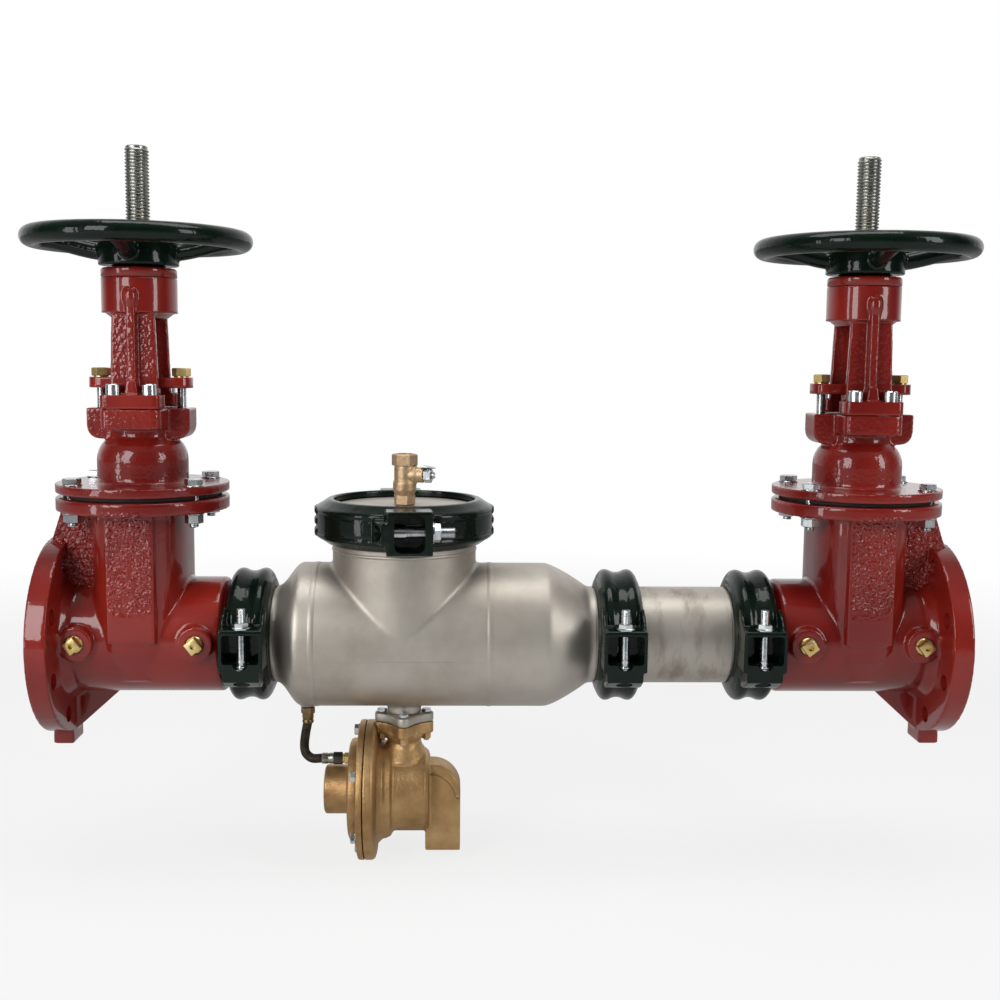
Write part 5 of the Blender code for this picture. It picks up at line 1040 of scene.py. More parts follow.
# check body, cap and spool
body = {"start": 0.2365, "end": 0.6595, "radius": 0.0850, "bore": 0.080, "neck": 0.026, "inletEnd": 0.0555,
        "outletStart": 0.341, "outletEnd": 0.3915, "riser": 0.08415, "riserTop": 0.1355, "riserWall": 0.005,
        "port": 0.0202, "portTop": -0.0950, "portLow": -0.1060, "portBore": 0.016, "lobeCircle": 0.0265,
        "lobe": 0.0085, "waist": 0.0238, "bossX": 0.296, "boss": 0.0100, "bossLength": 0.0035,
        "bands": (0.3085, 0.5115), "seamStart": 0.306, "seamLength": 0.2055, "seamTurn": math.radians(-100)}


def groovedEnd(end, inward):
    r, d = line["pipe"], line["grooveDepth"]
    a, b = end + inward * line["grooveSeat"], end + inward * (line["grooveSeat"] + line["grooveWidth"])
    tip = end + inward * 0.0008
    return [(r - 0.0008, end), (r, tip), (r, a), (r - d, a), (r - d, b), (r, b)]


def lobes(circle, lobe, waist, steps=9):
    outline = []
    for i in range(4):
        a = math.radians(90 * i)
        outline += arc((circle * math.cos(a), circle * math.sin(a)), lobe, 90 * i - 78, 90 * i + 78, steps)
        outline += arc((0, 0), waist, 90 * i + 37, 90 * i + 53, 3)
    return outline


def seam(name, points, radius=0.0011, sides=8, closed=True):
    # weld bead: a low soft ridge that follows a joint, with small ripples
    shape = bmesh.new()
    rings = []
    count = len(points)
    for i, p in enumerate(points):
        p = Vector(p)
        ahead = (Vector(points[(i + 1) % count]) - Vector(points[i - 1])).normalized() if closed else \
            (Vector(points[min(i + 1, count - 1)]) - Vector(points[max(i - 1, 0)])).normalized()
        guide = Vector((1, 0, 0)) if abs(ahead.x) < 0.8 else Vector((0, 0, 1))
        side = ahead.cross(guide).normalized()
        over = side.cross(ahead).normalized()
        r = radius * (1 + 0.12 * math.sin(i * 1.9))
        rings.append([shape.verts.new(p + side * r * math.cos(2 * math.pi * k / sides)
                                      + over * r * math.sin(2 * math.pi * k / sides)) for k in range(sides)])
    pairs = list(zip(rings, rings[1:])) + ([(rings[-1], rings[0])] if closed else [])
    for a, b in pairs:
        for k in range(sides):
            n = (k + 1) % sides
            shape.faces.new((a[k], a[n], b[n], b[k]))
    if not closed:
        shape.faces.new(rings[0][::-1])
        shape.faces.new(rings[-1])
    bmesh.ops.recalc_face_normals(shape, faces=shape.faces)
    return asObject(name, shape)


def stainlessBody():
    b = body
    s, e = b["start"], b["end"]
    r0, R = line["pipe"], b["radius"]
    shoulderIn = [(r0 + (R - r0) * ease(i / 14, 0, 1), s + b["neck"] + (b["inletEnd"] - b["neck"]) * i / 14)
                  for i in range(15)]
    shoulderOut = [(R - (R - r0) * (i / 18) ** 1.3,
                    s + b["outletStart"] + (b["outletEnd"] - b["outletStart"]) * i / 18) for i in range(19)]
    outer = [(r0, s), (r0, s + b["neck"])] + shoulderIn + shoulderOut + [(r0, e)]
    run = lathe("run", solid(outer), 160, alongX)
    top = b["riserTop"]
    at = (line["riser"], 0, 0)
    riser = drum("riser", b["riser"], 0.004, top, at=at, sides=160, turn=0.01)
    port = drum("port", b["port"], b["portTop"] - 0.0005, -R + 0.004, at=at, sides=64)
    boss = drum("boss", b["boss"], -R - b["bossLength"], -R + 0.008, at=(b["bossX"], 0, 0), sides=40)
    # the pressed tee has soft joints, so the skin is melted together, then bored and grooved
    whole = castFrom("checkBody", [run, riser, port, boss], 0.0021, 6)
    for end, inward in ((s, 1), (e, -1)):
        first, last = sorted((end + inward * line["grooveSeat"],
                              end + inward * (line["grooveSeat"] + line["grooveWidth"])))
        machine(whole, [grooveCutter("groove", r0, 0.004, first, last, 96, alongX, turn=0.01)])
    last = top - line["grooveSeat"]
    machine(whole, [grooveCutter("riserGroove", b["riser"], 0.004, last - line["grooveWidth"], last, 128, at=at,
                                 turn=0.02)])
    way = r0 - line["pipeWall"]
    inside = [(way, s - 0.01), (way, s + b["neck"] + 0.004), (b["bore"], s + b["inletEnd"] + 0.004),
              (b["bore"], s + b["outletStart"] - 0.004), (way, s + b["outletEnd"] - 0.006), (way, e + 0.01)]
    for cutter in (lathe("inside", solid(inside), 96, alongX, turn=0.02),
                   drum("riserWay", b["riser"] - b["riserWall"], 0.0, top + 0.01, at=at, sides=96, turn=0.03),
                   drum("portWay", b["portBore"], b["portTop"] - 0.01, -0.06, at=at, sides=48)):
        machine(whole, [cutter])
    whole.name = "checkBody"
    done(whole, "assembly", "stainless", stands=["backflow_body"], smooth=50)

    flange = prism("portFlange", lobes(b["lobeCircle"], b["lobe"], b["waist"]), b["portLow"], b["portTop"], at=at)
    roundEdges(flange, 0.0022, 3)
    machine(flange, [drum("portHole", b["portBore"], b["portLow"] - 0.01, b["portTop"] + 0.01, at=at, sides=48)])
    flange.name = "reliefPortFlange"
    done(flange, "assembly", "stainless", smooth=40)

    # seams: broad low bands round the run and the riser, one fine line along it, a bead round the port
    beads = []
    for x in b["bands"]:
        beads.append(lathe("band", [(R - 0.0015, x - 0.0036), (R + 0.0001, x - 0.0034), (R + 0.0005, x - 0.0015),
                                    (R + 0.0005, x + 0.0015), (R + 0.0001, x + 0.0034), (R - 0.0015, x + 0.0036)],
                           160, alongX))
    rise = b["riser"]
    beads.append(lathe("riserBand", [(rise - 0.0015, 0.1015), (rise + 0.0002, 0.1018), (rise + 0.0010, 0.1032),
                                     (rise + 0.0008, 0.1046), (rise + 0.0001, 0.1056), (rise - 0.0015, 0.1060)],
                       160, at=at))
    seamTurn, skin = b["seamTurn"], R - 0.0002
    beads.append(seam("runSeam", [(b["seamStart"] + b["seamLength"] * i / 120, skin * math.sin(seamTurn),
                                   skin * math.cos(seamTurn)) for i in range(121)], 0.0005, closed=False))
    ring = [2 * math.pi * i / 64 for i in range(64)]
    beads.append(seam("portSeam", [(line["riser"] + b["port"] * math.cos(a), b["port"] * math.sin(a),
                                    -math.sqrt(R * R - (b["port"] * math.sin(a)) ** 2)) for a in ring], 0.0014))
    piece = merge("weldSeams", beads)
    done(piece, "assembly", "stainless", smooth=60)


stainlessBody()

cap = {"low": 0.1385, "step": 0.1520, "radius": 0.0836, "stepRadius": 0.0817, "top": 0.1547, "tap": 0.0089}


def accessCap():
    c = cap
    piece = lathe("accessCap", solid([(c["radius"], c["low"]), (c["radius"], c["step"] - 0.001),
                                      (c["radius"] - 0.001, c["step"]), (c["stepRadius"], c["step"]),
                                      (c["stepRadius"], c["top"] - 0.0012), (c["stepRadius"] - 0.0012, c["top"])]),
                  128, at=(line["riser"], 0, 0))
    machine(piece, [drum("tap", c["tap"], c["top"] - 0.013, c["top"] + 0.01, at=(line["riser"], 0, 0), sides=40)],
            "EXACT")
    done(piece, "assembly", "stainless", stands=["access_cap"], smooth=30)


accessCap()

spool = {"start": 0.6625, "end": 0.8175}


def spoolPipe():
    start, end = spool["start"], spool["end"]
    bore = line["pipe"] - line["pipeWall"]
    profile = groovedEnd(start, 1) + groovedEnd(end, -1)[::-1]
    piece = lathe("spoolPipe", profile + [(bore, end), (bore, start)], 128, alongX)
    done(piece, "assembly", "stainless", "stainedPipe", stands=["spool"], smooth=30)


spoolPipe()
print("body, cap and spool done")

coupling = {"width": 0.056, "radius": 0.0780, "side": 0.0085, "base": 0.0245, "capWidth": 0.052,
            "capRadius": 0.1053, "sealWidth": 0.030, "sealHeight": 0.0095, "lump": 0.0130, "valley": 0.0035,
            "upperLug": 0.0195, "upperThick": 0.0055, "lowerLug": 0.0135,
            "lowerThick": 0.0090, "window": 0.0205, "windowRound": 0.0035, "dip": 0.0088, "capLug": 0.0168,
            "capThick": 0.0085, "fitGap": 0.0006, "neckCollar": 0.0092,
            "capWindow": 0.0212, "capWindowRound": 0.0085, "rib": 0.0040, "nut": 0.0086,
            "nutHeight": 0.0062, "boltEnd": 0.0480, "head": 0.0086, "headHeight": 0.0062,
            "pitch": 0.0015, "capTurn": math.radians(4.9), "lowerHood": 0.0205, "capHood": 0.0125,
            "hoodRise": 0.0200, "capNut": 0.0105, "capNutHeight": 0.0090, "capBoltEnd": 0.0500,
            "capPads": ((-0.0170, -0.0095), (-0.0045, 0.0025), (0.0080, 0.0165))}

# how far the lugs and their bolts stand off the housing, and the bolt's own radius
pipeFit = {"reach": 0.0240, "offset": 0.0130, "bolt": 0.0050, "skirt": 0.0020}
capFit = {"reach": 0.0205, "offset": 0.0100, "bolt": 0.0060, "skirt": 0.0012}


def keyAndSeal(pipe):
    # where the housing's key sits in the pipe's groove, and the room that the seal needs
    slack = coupling["fitGap"]
    low = line["jointGap"] / 2 + line["grooveSeat"] + slack
    return (low, low + line["grooveWidth"] - 2 * slack, coupling["sealWidth"] / 2 + slack,
            pipe + coupling["sealHeight"] + slack)


def housingSection(pipe, radius, width, base):
    # from the left key round the outside to the right key, heights measured from the joint;
    # two rounded ridges run round it with a shallow valley between
    c = coupling
    half = width / 2
    ridge = c["lump"] * half / 0.028
    drop = c["valley"]
    flank = [(pipe + c["side"] - 0.0050, base + 0.0012), (pipe + c["side"], base), (radius - 0.0110, base - 0.0010),
             (radius - 0.0060, base - 0.0030), (radius - 0.0022, ridge + 0.0056), (radius - 0.0004, ridge + 0.0028),
             (radius, ridge), (radius - 0.0006, ridge - 0.0030), (radius - drop * 0.62, ridge - 0.0065),
             (radius - drop * 0.93, ridge - 0.0095)]
    outer = [(r, -x) for r, x in flank] + [(radius - drop, 0.0)] + flank[::-1]
    low, high, sealHalf, sealTop = keyAndSeal(pipe)
    key = pipe - 0.0015
    end = max(base + 0.0012, high + 0.0006)
    inner = [(pipe + 0.0012, end), (pipe + 0.0012, high), (key, high), (key, low), (pipe + 0.0012, low),
             (sealTop, sealHalf), (sealTop, -sealHalf), (pipe + 0.0012, -low), (key, -low), (key, -high),
             (pipe + 0.0012, -high), (pipe + 0.0012, -end)]
    return outer + inner


def capSection(pipe, radius, width):
    # straight outer face between two fine ridges, sloping tops that run in to a sharp lip
    half = width / 2
    outer = [(pipe + 0.0008, half), (pipe + 0.0050, half), (pipe + 0.0062, half - 0.0008),
             (radius - 0.0085, half - 0.0052), (radius - 0.0030, half - 0.0085), (radius - 0.0016, half - 0.0100),
             (radius - 0.0024, half - 0.0112), (radius - 0.0012, half - 0.0124), (radius - 0.0026, half - 0.0140),
             (radius - 0.0020, half - 0.0175)]
    low, high, sealHalf, sealTop = keyAndSeal(pipe)
    key = pipe - 0.0015
    inner = [(pipe + 0.0008, high), (key, high), (key, low), (pipe + 0.0012, low),
             (sealTop, sealHalf), (sealTop, -sealHalf), (pipe + 0.0012, -low), (key, -low),
             (key, -high), (pipe + 0.0008, -high)]
    return [(r, -x) for r, x in outer] + outer[::-1] + inner


def housingHalf(name, section, radius, base, up, fit, lug, thick, hood, window, corner, pads=()):
    # made with the pipe along X and the split at Z = 0, then moved to its joint;
    # a hood slopes back from the lug into the housing and hides the bolt head in its pocket
    c = coupling
    half = lathe(name, section, 144, alongX, turn=0.013)
    low, high = span(-up, 0.3, 0.006)
    machine(half, [box("split", (-0.2, -0.3, low), (0.2, 0.3, high))], "EXACT")
    parts = [half]
    for low, high in pads:
        # grip pads on the side away from the bolts
        for turn in (-0.11, 0.0, 0.11):
            pad = box("pad", (low, -0.0042, radius - 0.006), (high, 0.0042, radius), edge=0.0008)
            pad.data.transform(Matrix.Rotation(turn + (0 if up > 0 else math.pi), 4, "X"))
            parts.append(pad)
    near, reach, top = radius - 0.012, radius + fit["reach"], lug + thick
    for sy in (-1, 1):
        side = [(near, -0.006), (reach - 0.0004, -0.006), (reach, top - 0.0008), (reach - 0.0008, top), (near, top)]
        parts.append(prism("lug", [(sy * v, up * w) for v, w in side], -base, base, "X"))
        if hood:
            rise = c["hoodRise"] if hood > 0.02 else c["hoodRise"] * 0.6
            cover = [(near, top - 0.002), (reach - 0.0006, top - 0.002), (reach - 0.0012, top + rise * 0.55),
                     (radius + 0.0060, top + rise), (radius - 0.0020, top + rise * 1.15), (near, top + rise * 1.15)]
            parts.append(prism("hood", [(sy * v, up * w) for v, w in cover], -hood, hood, "X"))
        elif not pads:
            for sx in (-1, 1):
                inside, outside = sorted((sx * (base - c["rib"]), sx * base))
                slope = [(near, top - 0.001), (reach - 0.002, top - 0.001), (radius + 0.010, top + 0.0040),
                         (radius + 0.001, top + 0.0130), (near, top + 0.0200)]
                parts.append(prism("rib", [(sy * v, up * w) for v, w in slope], inside, outside, "X"))
    piece = castFrom(name, parts, 0.0014, 2)
    low, high = sorted((-up * 0.3, up * 0.00015))
    machine(piece, [box("face", (-0.2, -0.3, low), (0.2, 0.3, high))])
    opening = roundedOutline(window, lug, corner, 8)
    for sy in (-1, 1):
        inside, outside = sorted((sy * (radius - 0.0040), sy * (reach + 0.01)))
        machine(piece, [prism("window", opening, inside, outside, "Y")])
        at = (0, sy * (radius + fit["offset"]), 0)
        low, high = sorted((up * (lug - 0.004), up * (top + 0.004)))
        machine(piece, [drum("hole", fit["bolt"] + 0.0008, low, high, at=at, sides=28)])
        if hood:
            low, high = sorted((up * (lug + thick * 0.55), up * (top + 0.05)))
            machine(piece, [drum("pocket", c["head"] + 0.0008, low, high, at=at, sides=32)])
    return piece


def couplingBolt(fit, headSeat, neckEnd, nutSeat, nutHeight, nutRadius, end):
    # round head in the closed lug with its oval neck through it; nut on a wider flange, thread past it
    c = coupling
    head = lathe("head", [(0.0, headSeat - c["headHeight"]), (c["head"] * 0.7, headSeat - c["headHeight"]),
                          (c["head"], headSeat - c["headHeight"] * 0.55), (c["head"], headSeat),
                          (0.0, headSeat)], 32)
    neck = lathe("neck", solid([(fit["bolt"] + 0.0006, headSeat - 0.0005), (fit["bolt"] + 0.0006, neckEnd)]), 24)
    shank = drum("shank", fit["bolt"] - 0.0003, headSeat - 0.001, neckEnd + 0.004, sides=24)
    screw = thread("screw", fit["bolt"], c["pitch"], neckEnd + 0.001, end, around=22)
    tip = drum("tip", fit["bolt"] - 0.0010, end - 0.003, end - 0.0003, sides=22, edge=0.0006)
    skirtRadius = nutRadius + fit["skirt"]
    skirt = lathe("skirt", solid([(skirtRadius, nutSeat + 0.0003), (skirtRadius, nutSeat + 0.0014),
                                  (nutRadius - 0.0006, nutSeat + 0.0024)]), 36)
    nut = hexHead("nut", nutRadius, nutSeat + 0.0010, nutSeat + nutHeight)
    return merge("couplingBolt", [head, neck, shank, screw, tip, skirt, nut])


def sealRing(name, pipe, place, stands):
    c = coupling
    half, thick = c["sealWidth"] / 2, c["sealHeight"]
    piece = lathe(name, [(pipe + 0.0003, -half), (pipe + thick * 0.6, -half), (pipe + thick, -half * 0.7),
                         (pipe + thick, half * 0.7), (pipe + thick * 0.6, half), (pipe + 0.0003, half)], 96, alongX)
    piece.data.transform(place)
    done(piece, "assembly", "rubber", stands=[stands])


def pipeCouplings():
    c = coupling
    section = housingSection(line["pipe"], c["radius"], c["width"], c["base"])
    upper = housingHalf("upperHousing", section, c["radius"], c["base"], 1, pipeFit, c["upperLug"],
                        c["upperThick"], 0, c["window"], c["windowRound"])
    lower = housingHalf("lowerHousing", section, c["radius"], c["base"], -1, pipeFit, c["lowerLug"],
                        c["lowerThick"], c["lowerHood"], c["window"], c["windowRound"])
    # the lower lug's front lip dips round the bolt's collar
    reach = c["radius"] + pipeFit["offset"]
    for sy in (-1, 1):
        near, far = span(sy, reach, c["radius"] + 0.04)
        machine(lower, [drum("dip", c["dip"], near, far, alongY, (0, 0, -c["lowerLug"] + 0.0018), 40)])
    for number, (x, shift) in enumerate(zip(line["joints"], (-0.002, 0.002, 0.002)), start=1):
        place = Matrix.Translation((x, 0, 0))
        shifted = Matrix.Translation((x + shift, 0, 0))
        for raw, end in ((upper, "upper"), (lower, "lower")):
            done(copyOf(raw, f"coupling{number}{end.title()}", shifted), "assembly", "black_enamel",
                 stands=[f"coupling_{number}_{end}"], smooth=50)
        seat = -c["lowerLug"] - c["lowerThick"] * 0.55
        bolt = couplingBolt(pipeFit, seat, -c["lowerLug"] + 0.002, c["upperLug"] + c["upperThick"],
                            c["nutHeight"] + 0.001, c["nut"], c["boltEnd"])
        collars = merge("neckCollars", [drum("neckCollar", c["neckCollar"], seat + 0.001, -c["lowerLug"] - 0.0032,
                                             at=(0, sy * reach, 0), edge=0.0006) for sy in (-1, 1)])
        collars.data.transform(shifted)
        done(collars, "assembly", "zinc", smooth=30)
        collars.name = f"coupling{number}NeckCollars"
        scatter(f"coupling{number}Bolts", bolt, [(0, -reach, 0), (0, reach, 0)], "zinc", "zinc", "assembly",
                shifted, seed=number)
        sealRing(f"coupling{number}Seal", line["pipe"], place, f"coupling_{number}_seal")
    drop(upper)
    drop(lower)


pipeCouplings()


def capCoupling():
    # the same housing, larger, stood on end round the riser: its split faces along the line
    c = coupling
    upright = Matrix.Rotation(c["capTurn"], 4, "Z") @ alongX
    stand = Matrix.Translation((line["riser"], 0, line["capJoint"])) @ upright
    wide = c["capWidth"] / 2 - 0.0016
    section = capSection(body["riser"], c["capRadius"], c["capWidth"])
    right = housingHalf("rightHousing", section, c["capRadius"], wide, 1, capFit, c["capLug"], c["capThick"], 0,
                        c["capWindow"], c["capWindowRound"], c["capPads"])
    left = housingHalf("leftHousing", section, c["capRadius"], wide, -1, capFit, c["capLug"], c["capThick"],
                       c["capHood"], c["capWindow"], c["capWindowRound"], c["capPads"])
    for raw, end in ((right, "right"), (left, "left")):
        done(copyOf(raw, "capCoupling" + end.title(), stand), "assembly", "black_enamel",
             stands=["cap_coupling_" + end], smooth=50)
    reach = c["capRadius"] + capFit["offset"]
    bolt = couplingBolt(capFit, -c["capLug"] - c["capThick"] * 0.55, -c["capLug"] + 0.012,
                        c["capLug"] + c["capThick"], c["capNutHeight"], c["capNut"], c["capBoltEnd"])
    scatter("capCouplingBolts", bolt, [(0, -reach, 0), (0, reach, 0)], "zinc", "zinc", "assembly", stand, seed=5)
    sealRing("capSeal", body["riser"], stand, "cap_seal")
    drop(left)
    drop(right)


capCoupling()
print("couplings done")

relief = {"z": -0.191, "diaphragm": 0.365, "thick": 0.0014, "flange": 0.0828, "flangeEnd": 0.3790, "bowl": 0.058,
          "bowlStart": 0.381, "barrel": 0.049, "barrelStart": 0.399, "barrelEnd": 0.441, "elbowEnd": 0.4789,
          "elbowTop": -0.1560, "elbowMouth": -0.2598, "elbowDepth": 0.0225, "elbowCorner": 0.034, "wall": 0.0045,
          "neck": 0.0200, "portTop": -0.0950, "portLow": -0.1063, "flangeThick": 0.0134, "lobeCircle": 0.0265,
          "lobe": 0.0085, "waist": 0.0238, "portBolt": 0.0035, "portNut": 0.0058, "nutHeight": 0.0080,
          "mouthStart": 0.4370, "mouthStep": -0.2300, "bore": 0.050, "partition": 0.392, "chamber": 0.039,
          "seat": 0.428, "seatBore": 0.022, "guide": 0.0070, "inlet": 0.016, "faceInset": 0.0045}


def reliefBody():
    r = relief
    at = (0, 0, r["z"])
    x = line["riser"]
    low = r["diaphragm"] + r["thick"] - 0.0002
    turnedPart = lathe("turned", solid([
        (r["flange"] - 0.0005, low), (r["flange"], low + 0.0005), (r["flange"], r["flangeEnd"] - 0.004),
        (r["flange"] - 0.002, r["flangeEnd"] - 0.0012), (r["flange"] - 0.006, r["flangeEnd"]),
        (r["bowl"] + 0.006, r["flangeEnd"] + 0.0015), (r["bowl"], r["bowlStart"] + 0.006),
        (r["bowl"], r["barrelStart"] - 0.009), (r["bowl"] - 0.003, r["barrelStart"] - 0.003),
        (r["barrel"], r["barrelStart"]), (r["barrel"], r["barrelEnd"] - 0.004),
        (r["barrel"] - 0.004, r["barrelEnd"])]), 128, alongX, at)
    neck = drum("neck", r["neck"], r["z"] + 0.02, r["portLow"] - 0.004, at=(x, 0, 0), sides=56)
    skirt = lathe("skirt", solid([(r["neck"] + 0.012, -0.1500), (r["neck"] + 0.006, -0.1415),
                                  (r["neck"] + 0.0015, -0.1350), (r["neck"], -0.1300)]), 56, at=(x, 0, 0))
    collar = lathe("collar", solid([(r["neck"], -0.1290), (r["neck"] + 0.004, -0.1225),
                                    (r["neck"] + 0.005, -0.1175)]), 56, at=(x, 0, 0))
    flange = prism("flange", lobes(r["lobeCircle"], r["lobe"], r["waist"]), r["portLow"] - r["flangeThick"],
                   r["portLow"], at=(x, 0, 0))
    elbowStart = r["barrelEnd"] - 0.008
    corner = (r["elbowEnd"] - r["elbowCorner"], r["elbowTop"] - r["elbowCorner"])
    outline = [(r["mouthStart"], r["elbowMouth"]), (r["elbowEnd"], r["elbowMouth"])]
    outline += arc(corner, r["elbowCorner"], 0, 90, 20)
    outline += [(elbowStart, r["elbowTop"]), (elbowStart, r["mouthStep"]), (r["mouthStart"], r["mouthStep"])]
    # the elbow's slab has rolled edges, with a flat face standing proud of it
    elbow = prism("elbow", outline, -r["elbowDepth"] + 0.0035, r["elbowDepth"] - 0.0035, "Y", edge=0.0030)
    inset = r["faceInset"]
    face = [(r["mouthStart"] + 0.0002, r["elbowMouth"]), (r["elbowEnd"] - 0.0002, r["elbowMouth"]),
            (r["elbowEnd"] - 0.0002, corner[1] - 0.006)]
    face += arc((corner[0] - 0.002, corner[1] - 0.006), r["elbowCorner"] - inset, 0, 90, 20)
    face += [(elbowStart, r["elbowTop"] - inset - 0.006), (elbowStart, r["mouthStep"]),
             (r["mouthStart"], r["mouthStep"])]
    plate = prism("face", face, -r["elbowDepth"], r["elbowDepth"], "Y")
    raw = castFrom("reliefCasting", [turnedPart, neck, skirt, collar, flange, elbow, plate], 0.0013, 1)
    inner = r["elbowCorner"] - r["wall"]
    start = r["barrelEnd"] + 0.0005
    passage = [(start, r["elbowMouth"] - 0.01), (r["elbowEnd"] - r["wall"], r["elbowMouth"] - 0.01)]
    passage += arc(corner, inner, 0, 90, 20) + [(start, r["elbowTop"] - r["wall"])]
    cutters = [
        prism("passage", passage, -r["elbowDepth"] + r["wall"], r["elbowDepth"] - r["wall"], "Y"),
        drum("bowlBore", r["bore"], low - 0.02, r["partition"], alongX, at, 64),
        drum("chamber", r["chamber"], r["partition"] + 0.005, r["seat"], alongX, at, 64),
        drum("seat", r["seatBore"], r["seat"] - 0.005, start + 0.004, alongX, at, turn=0.02),
        drum("guide", r["guide"], r["partition"] - 0.01, r["partition"] + 0.02, alongX, at, 24, turn=0.03),
        drum("inlet", r["inlet"], r["z"] + 0.01, r["portLow"] + 0.01, at=(x, 0, 0), sides=40)]
    for cutter in cutters:
        machine(raw, [cutter])
    raw.name = "reliefCastingBody"
    markSand(raw, lambda p: 0.3 if p.x > r["diaphragm"] + 0.02 else 0.05)
    done(raw, "assembly", "bronze", stands=["relief_body"], smooth=40)

    screws, nuts = [], []
    for i in range(4):
        a = math.radians(90 * i)
        place = (x + r["lobeCircle"] * math.cos(a), r["lobeCircle"] * math.sin(a), 0)
        under = r["portLow"] - r["flangeThick"]
        shank = thread("screw", r["portBolt"], 0.0010, under - r["nutHeight"] - 0.0022, r["portTop"] + 0.001,
                       Matrix.Translation(place), around=16, depth=0.0004)
        nut = hexHead("nut", r["portNut"], under - r["nutHeight"], under - 0.0003)
        head = hexHead("head", r["portNut"], r["portTop"] + 0.0003, r["portTop"] + 0.0042)
        for piece in (nut, head):
            piece.data.transform(Matrix.Translation(place) @ Matrix.Rotation(0.4 + i * 0.9, 4, "Z"))
        screws += [shank, head]
        nuts.append(nut)
    done(merge("portScrews", screws), "assembly", "zinc", smooth=30)
    done(merge("portNuts", nuts), "assembly", "bronze", smooth=30)


hose = {"radius": 0.0053, "topX": 0.296, "top": -0.0888, "fitting": 0.0200, "port": -0.153, "end": 0.3459,
        "strand": 0.00030, "strands": 14, "turns": 9.0, "nut": 0.0083, "lowerNut": 0.0074,
        "bend": ((-0.0030, 0.34), (-0.0045, 0.66), (-0.0025, 0.87), (0.0050, 1.0), (0.0160, 1.0))}
coverScrew = {"head": 0.0066, "height": 0.0058, "washer": 0.0072, "seat": 0.3573, "circle": 0.0735,
              "senseHole": 0.0034}


def reliefCover():
    r = relief
    at = (0, 0, r["z"])
    cover = lathe("coverCasting", solid([
        (0.0190, 0.3165), (0.0262, 0.3166), (0.0285, 0.3180), (0.0290, 0.3200), (0.0290, 0.3425), (0.0305, 0.3448),
        (0.0330, 0.3462), (0.0560, 0.3462), (0.0595, 0.3478), (0.0608, 0.3510), (0.0608, 0.3552), (0.0625, 0.3570),
        (0.0650, 0.3575), (0.0800, 0.3576), (0.0820, 0.3584), (0.0828, 0.3600), (0.0828, 0.3646),
        (0.0823, 0.3651)]), 144, alongX, at)
    for cutter in (drum("chamber", r["bore"], 0.3535, 0.38, alongX, at, 64),
                   drum("capBore", r["seatBore"], 0.3225, 0.3580, alongX, at, turn=0.02),
                   drum("senseHole", coverScrew["senseHole"], 0.33, 0.3575, alongX, (0, 0, hose["port"]), 20)):
        machine(cover, [cutter])
    markSand(cover, lambda p: 0.12)
    done(cover, "assembly", "bronze", stands=["relief_cover"], smooth=38)
    # six screws with washers hold the cover
    bolts, s = [], coverScrew
    for i in range(6):
        a = math.radians(90 + 60 * i)
        bolt = merge("coverBolt", [hexHead("coverBolt", s["head"], 0.0, s["height"]),
                                   washer("coverWasher", s["washer"], -0.0002, 0.0008)])
        bolt.data.transform(Matrix.Translation((s["seat"], s["circle"] * math.cos(a),
                                                r["z"] + s["circle"] * math.sin(a)))
                            @ Matrix.Rotation(-math.pi / 2, 4, "Y") @ Matrix.Rotation(i * 0.7, 4, "Z"))
        bolts.append(bolt)
    done(merge("coverBolts", bolts), "assembly", "zinc", smooth=30)
    inner, outer = 0.0106, r["flange"] - 0.0022
    first, last = r["diaphragm"] + 0.0004, r["diaphragm"] + r["thick"] - 0.0004
    rubberEdge = lathe("diaphragm", [(inner, first), (inner, last), (outer, last),
                                     (r["flange"] - 0.0019, r["diaphragm"] + r["thick"] * 0.5), (outer, first)],
                       144, alongX, at)
    done(rubberEdge, "assembly", "rubber", stands=["relief_diaphragm"], smooth=30)


reliefBody()
reliefCover()
print("relief valve done")


def hosePath():
    h = hose
    start = h["top"] - h["fitting"] + 0.002
    drop = start - h["port"]
    route = [(h["topX"], start)] + [(h["topX"] + u, start - drop * v) for u, v in h["bend"]]
    route.append((h["end"] - h["fitting"] + 0.002, h["port"]))
    points = [Vector((x, 0, z)) for x, z in route]
    padded = [points[0]] + points + [points[-1]]
    smooth = []
    for a, b, c, d in zip(padded, padded[1:], padded[2:], padded[3:]):
        for i in range(16):
            t = i / 16
            smooth.append(0.5 * ((2 * b) + (c - a) * t + (2 * a - 5 * b + 4 * c - d) * t ** 2
                                 + (3 * b - a - 3 * c + d) * t ** 3))
    return smooth + [points[-1]]


